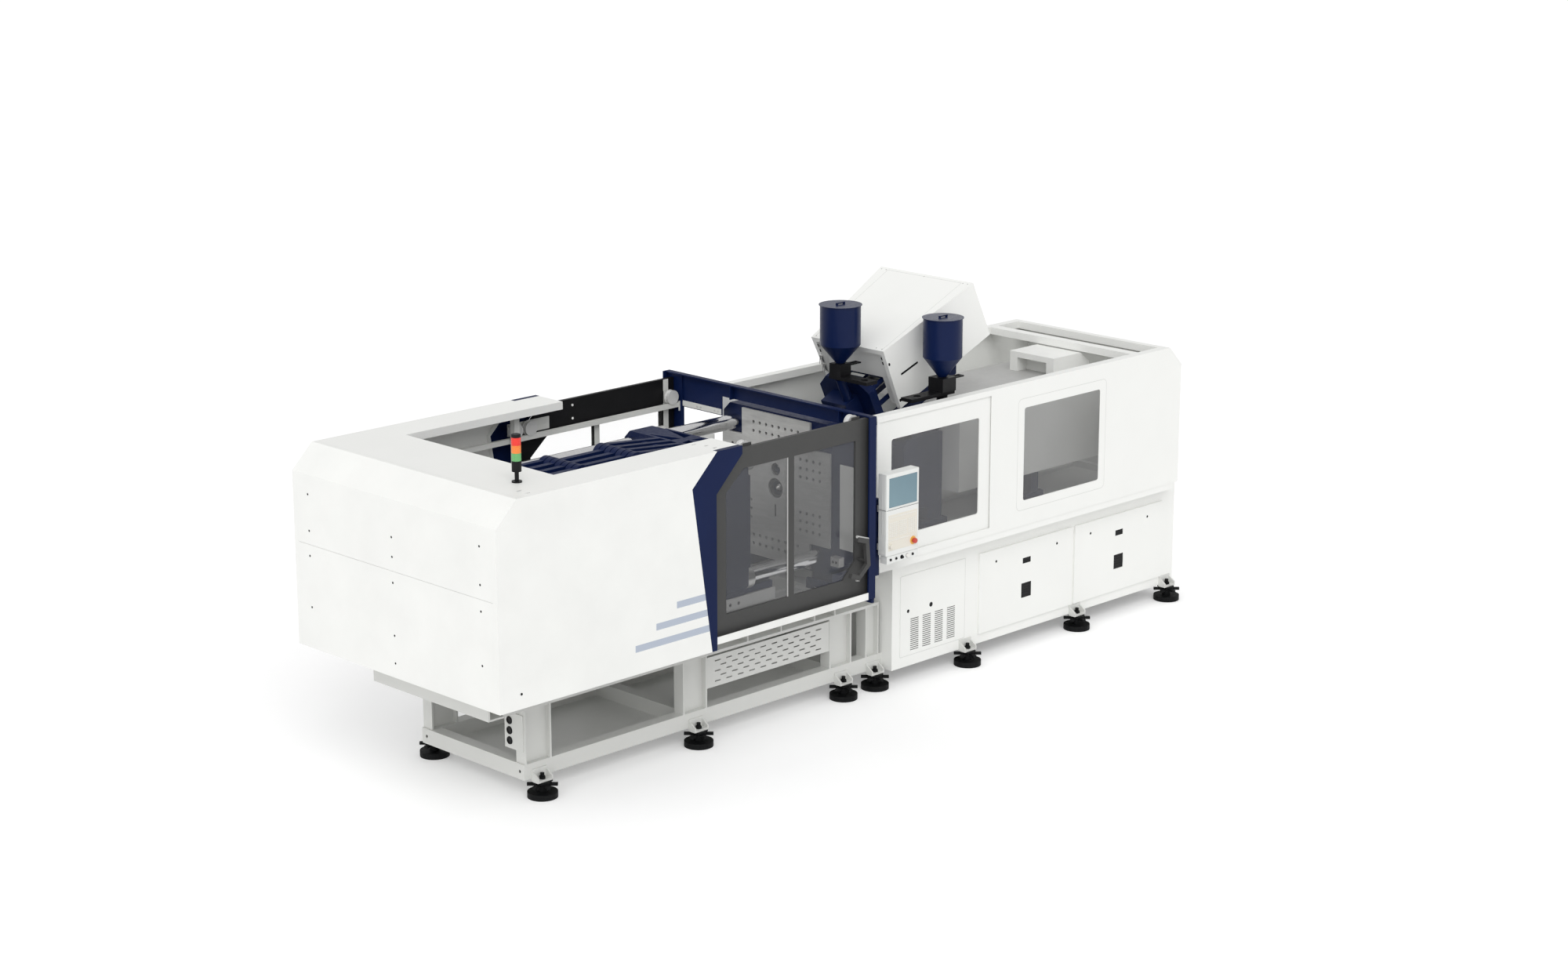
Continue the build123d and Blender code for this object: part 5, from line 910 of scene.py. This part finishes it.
# Pale floor that shows a little brighter to the camera than its light makes it
floor_mesh = bpy.data.meshes.new("floor")
bm = bmesh.new()
bmesh.ops.create_grid(bm, x_segments=1, y_segments=1, size=120.0)
bm.to_mesh(floor_mesh)
bm.free()
floor = bpy.data.objects.new("floor", floor_mesh)
floor.location = (0, 0, -0.0005)
scene.collection.objects.link(floor)
floor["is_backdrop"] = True
n = Nodes("pale_floor")
n.surface("Roughness", 0.9)
n.surface("Specular IOR Level", 0.1)
n.surface("Base Color", n.ramp(n.noise(0.6), [(0.3, (0.90, 0.90, 0.90)), (0.7, (0.93, 0.93, 0.93))]))
rays = n.add("ShaderNodeLightPath").outputs
emission = n.add("ShaderNodeEmission")
emission.inputs["Color"].default_value = (1, 1, 1, 1)
view_ray = n.math("MAXIMUM", rays["Is Camera Ray"], rays["Is Glossy Ray"])
view_ray = n.math("MAXIMUM", view_ray, rays["Is Transmission Ray"])
n.link(n.math("MULTIPLY", view_ray, 0.22), emission.inputs["Strength"])
both = n.add("ShaderNodeAddShader")
n.link(n.bsdf.outputs[0], both.inputs[0])
n.link(emission.outputs[0], both.inputs[1])
n.link(both.outputs[0], n.tree.nodes["Material Output"].inputs["Surface"])
floor_mesh.materials.append(n.mat)

# White backdrop for the camera, and a softer even light for everything else
world = bpy.data.worlds.new("studio")
scene.world = world
world.use_nodes = True
tree = world.node_tree
tree.nodes.clear()


def backdrop(strength):
    node = tree.nodes.new("ShaderNodeBackground")
    node.inputs["Color"].default_value = (1, 1, 1, 1)
    node.inputs["Strength"].default_value = strength
    return node.outputs[0]


light, seen = backdrop(0.66), backdrop(1.0)
ray = tree.nodes.new("ShaderNodeLightPath")
most = tree.nodes.new("ShaderNodeMath")
most.operation = "MAXIMUM"
pick = tree.nodes.new("ShaderNodeMixShader")
out_node = tree.nodes.new("ShaderNodeOutputWorld")
tree.links.new(ray.outputs["Is Camera Ray"], most.inputs[0])
tree.links.new(ray.outputs["Is Transmission Ray"], most.inputs[1])
tree.links.new(most.outputs[0], pick.inputs[0])
tree.links.new(light, pick.inputs[1])
tree.links.new(seen, pick.inputs[2])
tree.links.new(pick.outputs[0], out_node.inputs[0])


def sun(name, direction, strength, angle):
    data = bpy.data.lights.new(name, "SUN")
    data.energy = strength
    data.angle = math.radians(angle)
    lamp = bpy.data.objects.new(name, data)
    lamp.rotation_euler = Vector(direction).to_track_quat("-Z", "Y").to_euler()
    scene.collection.objects.link(lamp)


sun("key", (0.45, 0.75, -0.75), 0.95, 40)
sun("fill", (0.8, 0.25, -0.5), 0.55, 60)

scene.view_settings.view_transform = "Standard"

low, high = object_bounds()
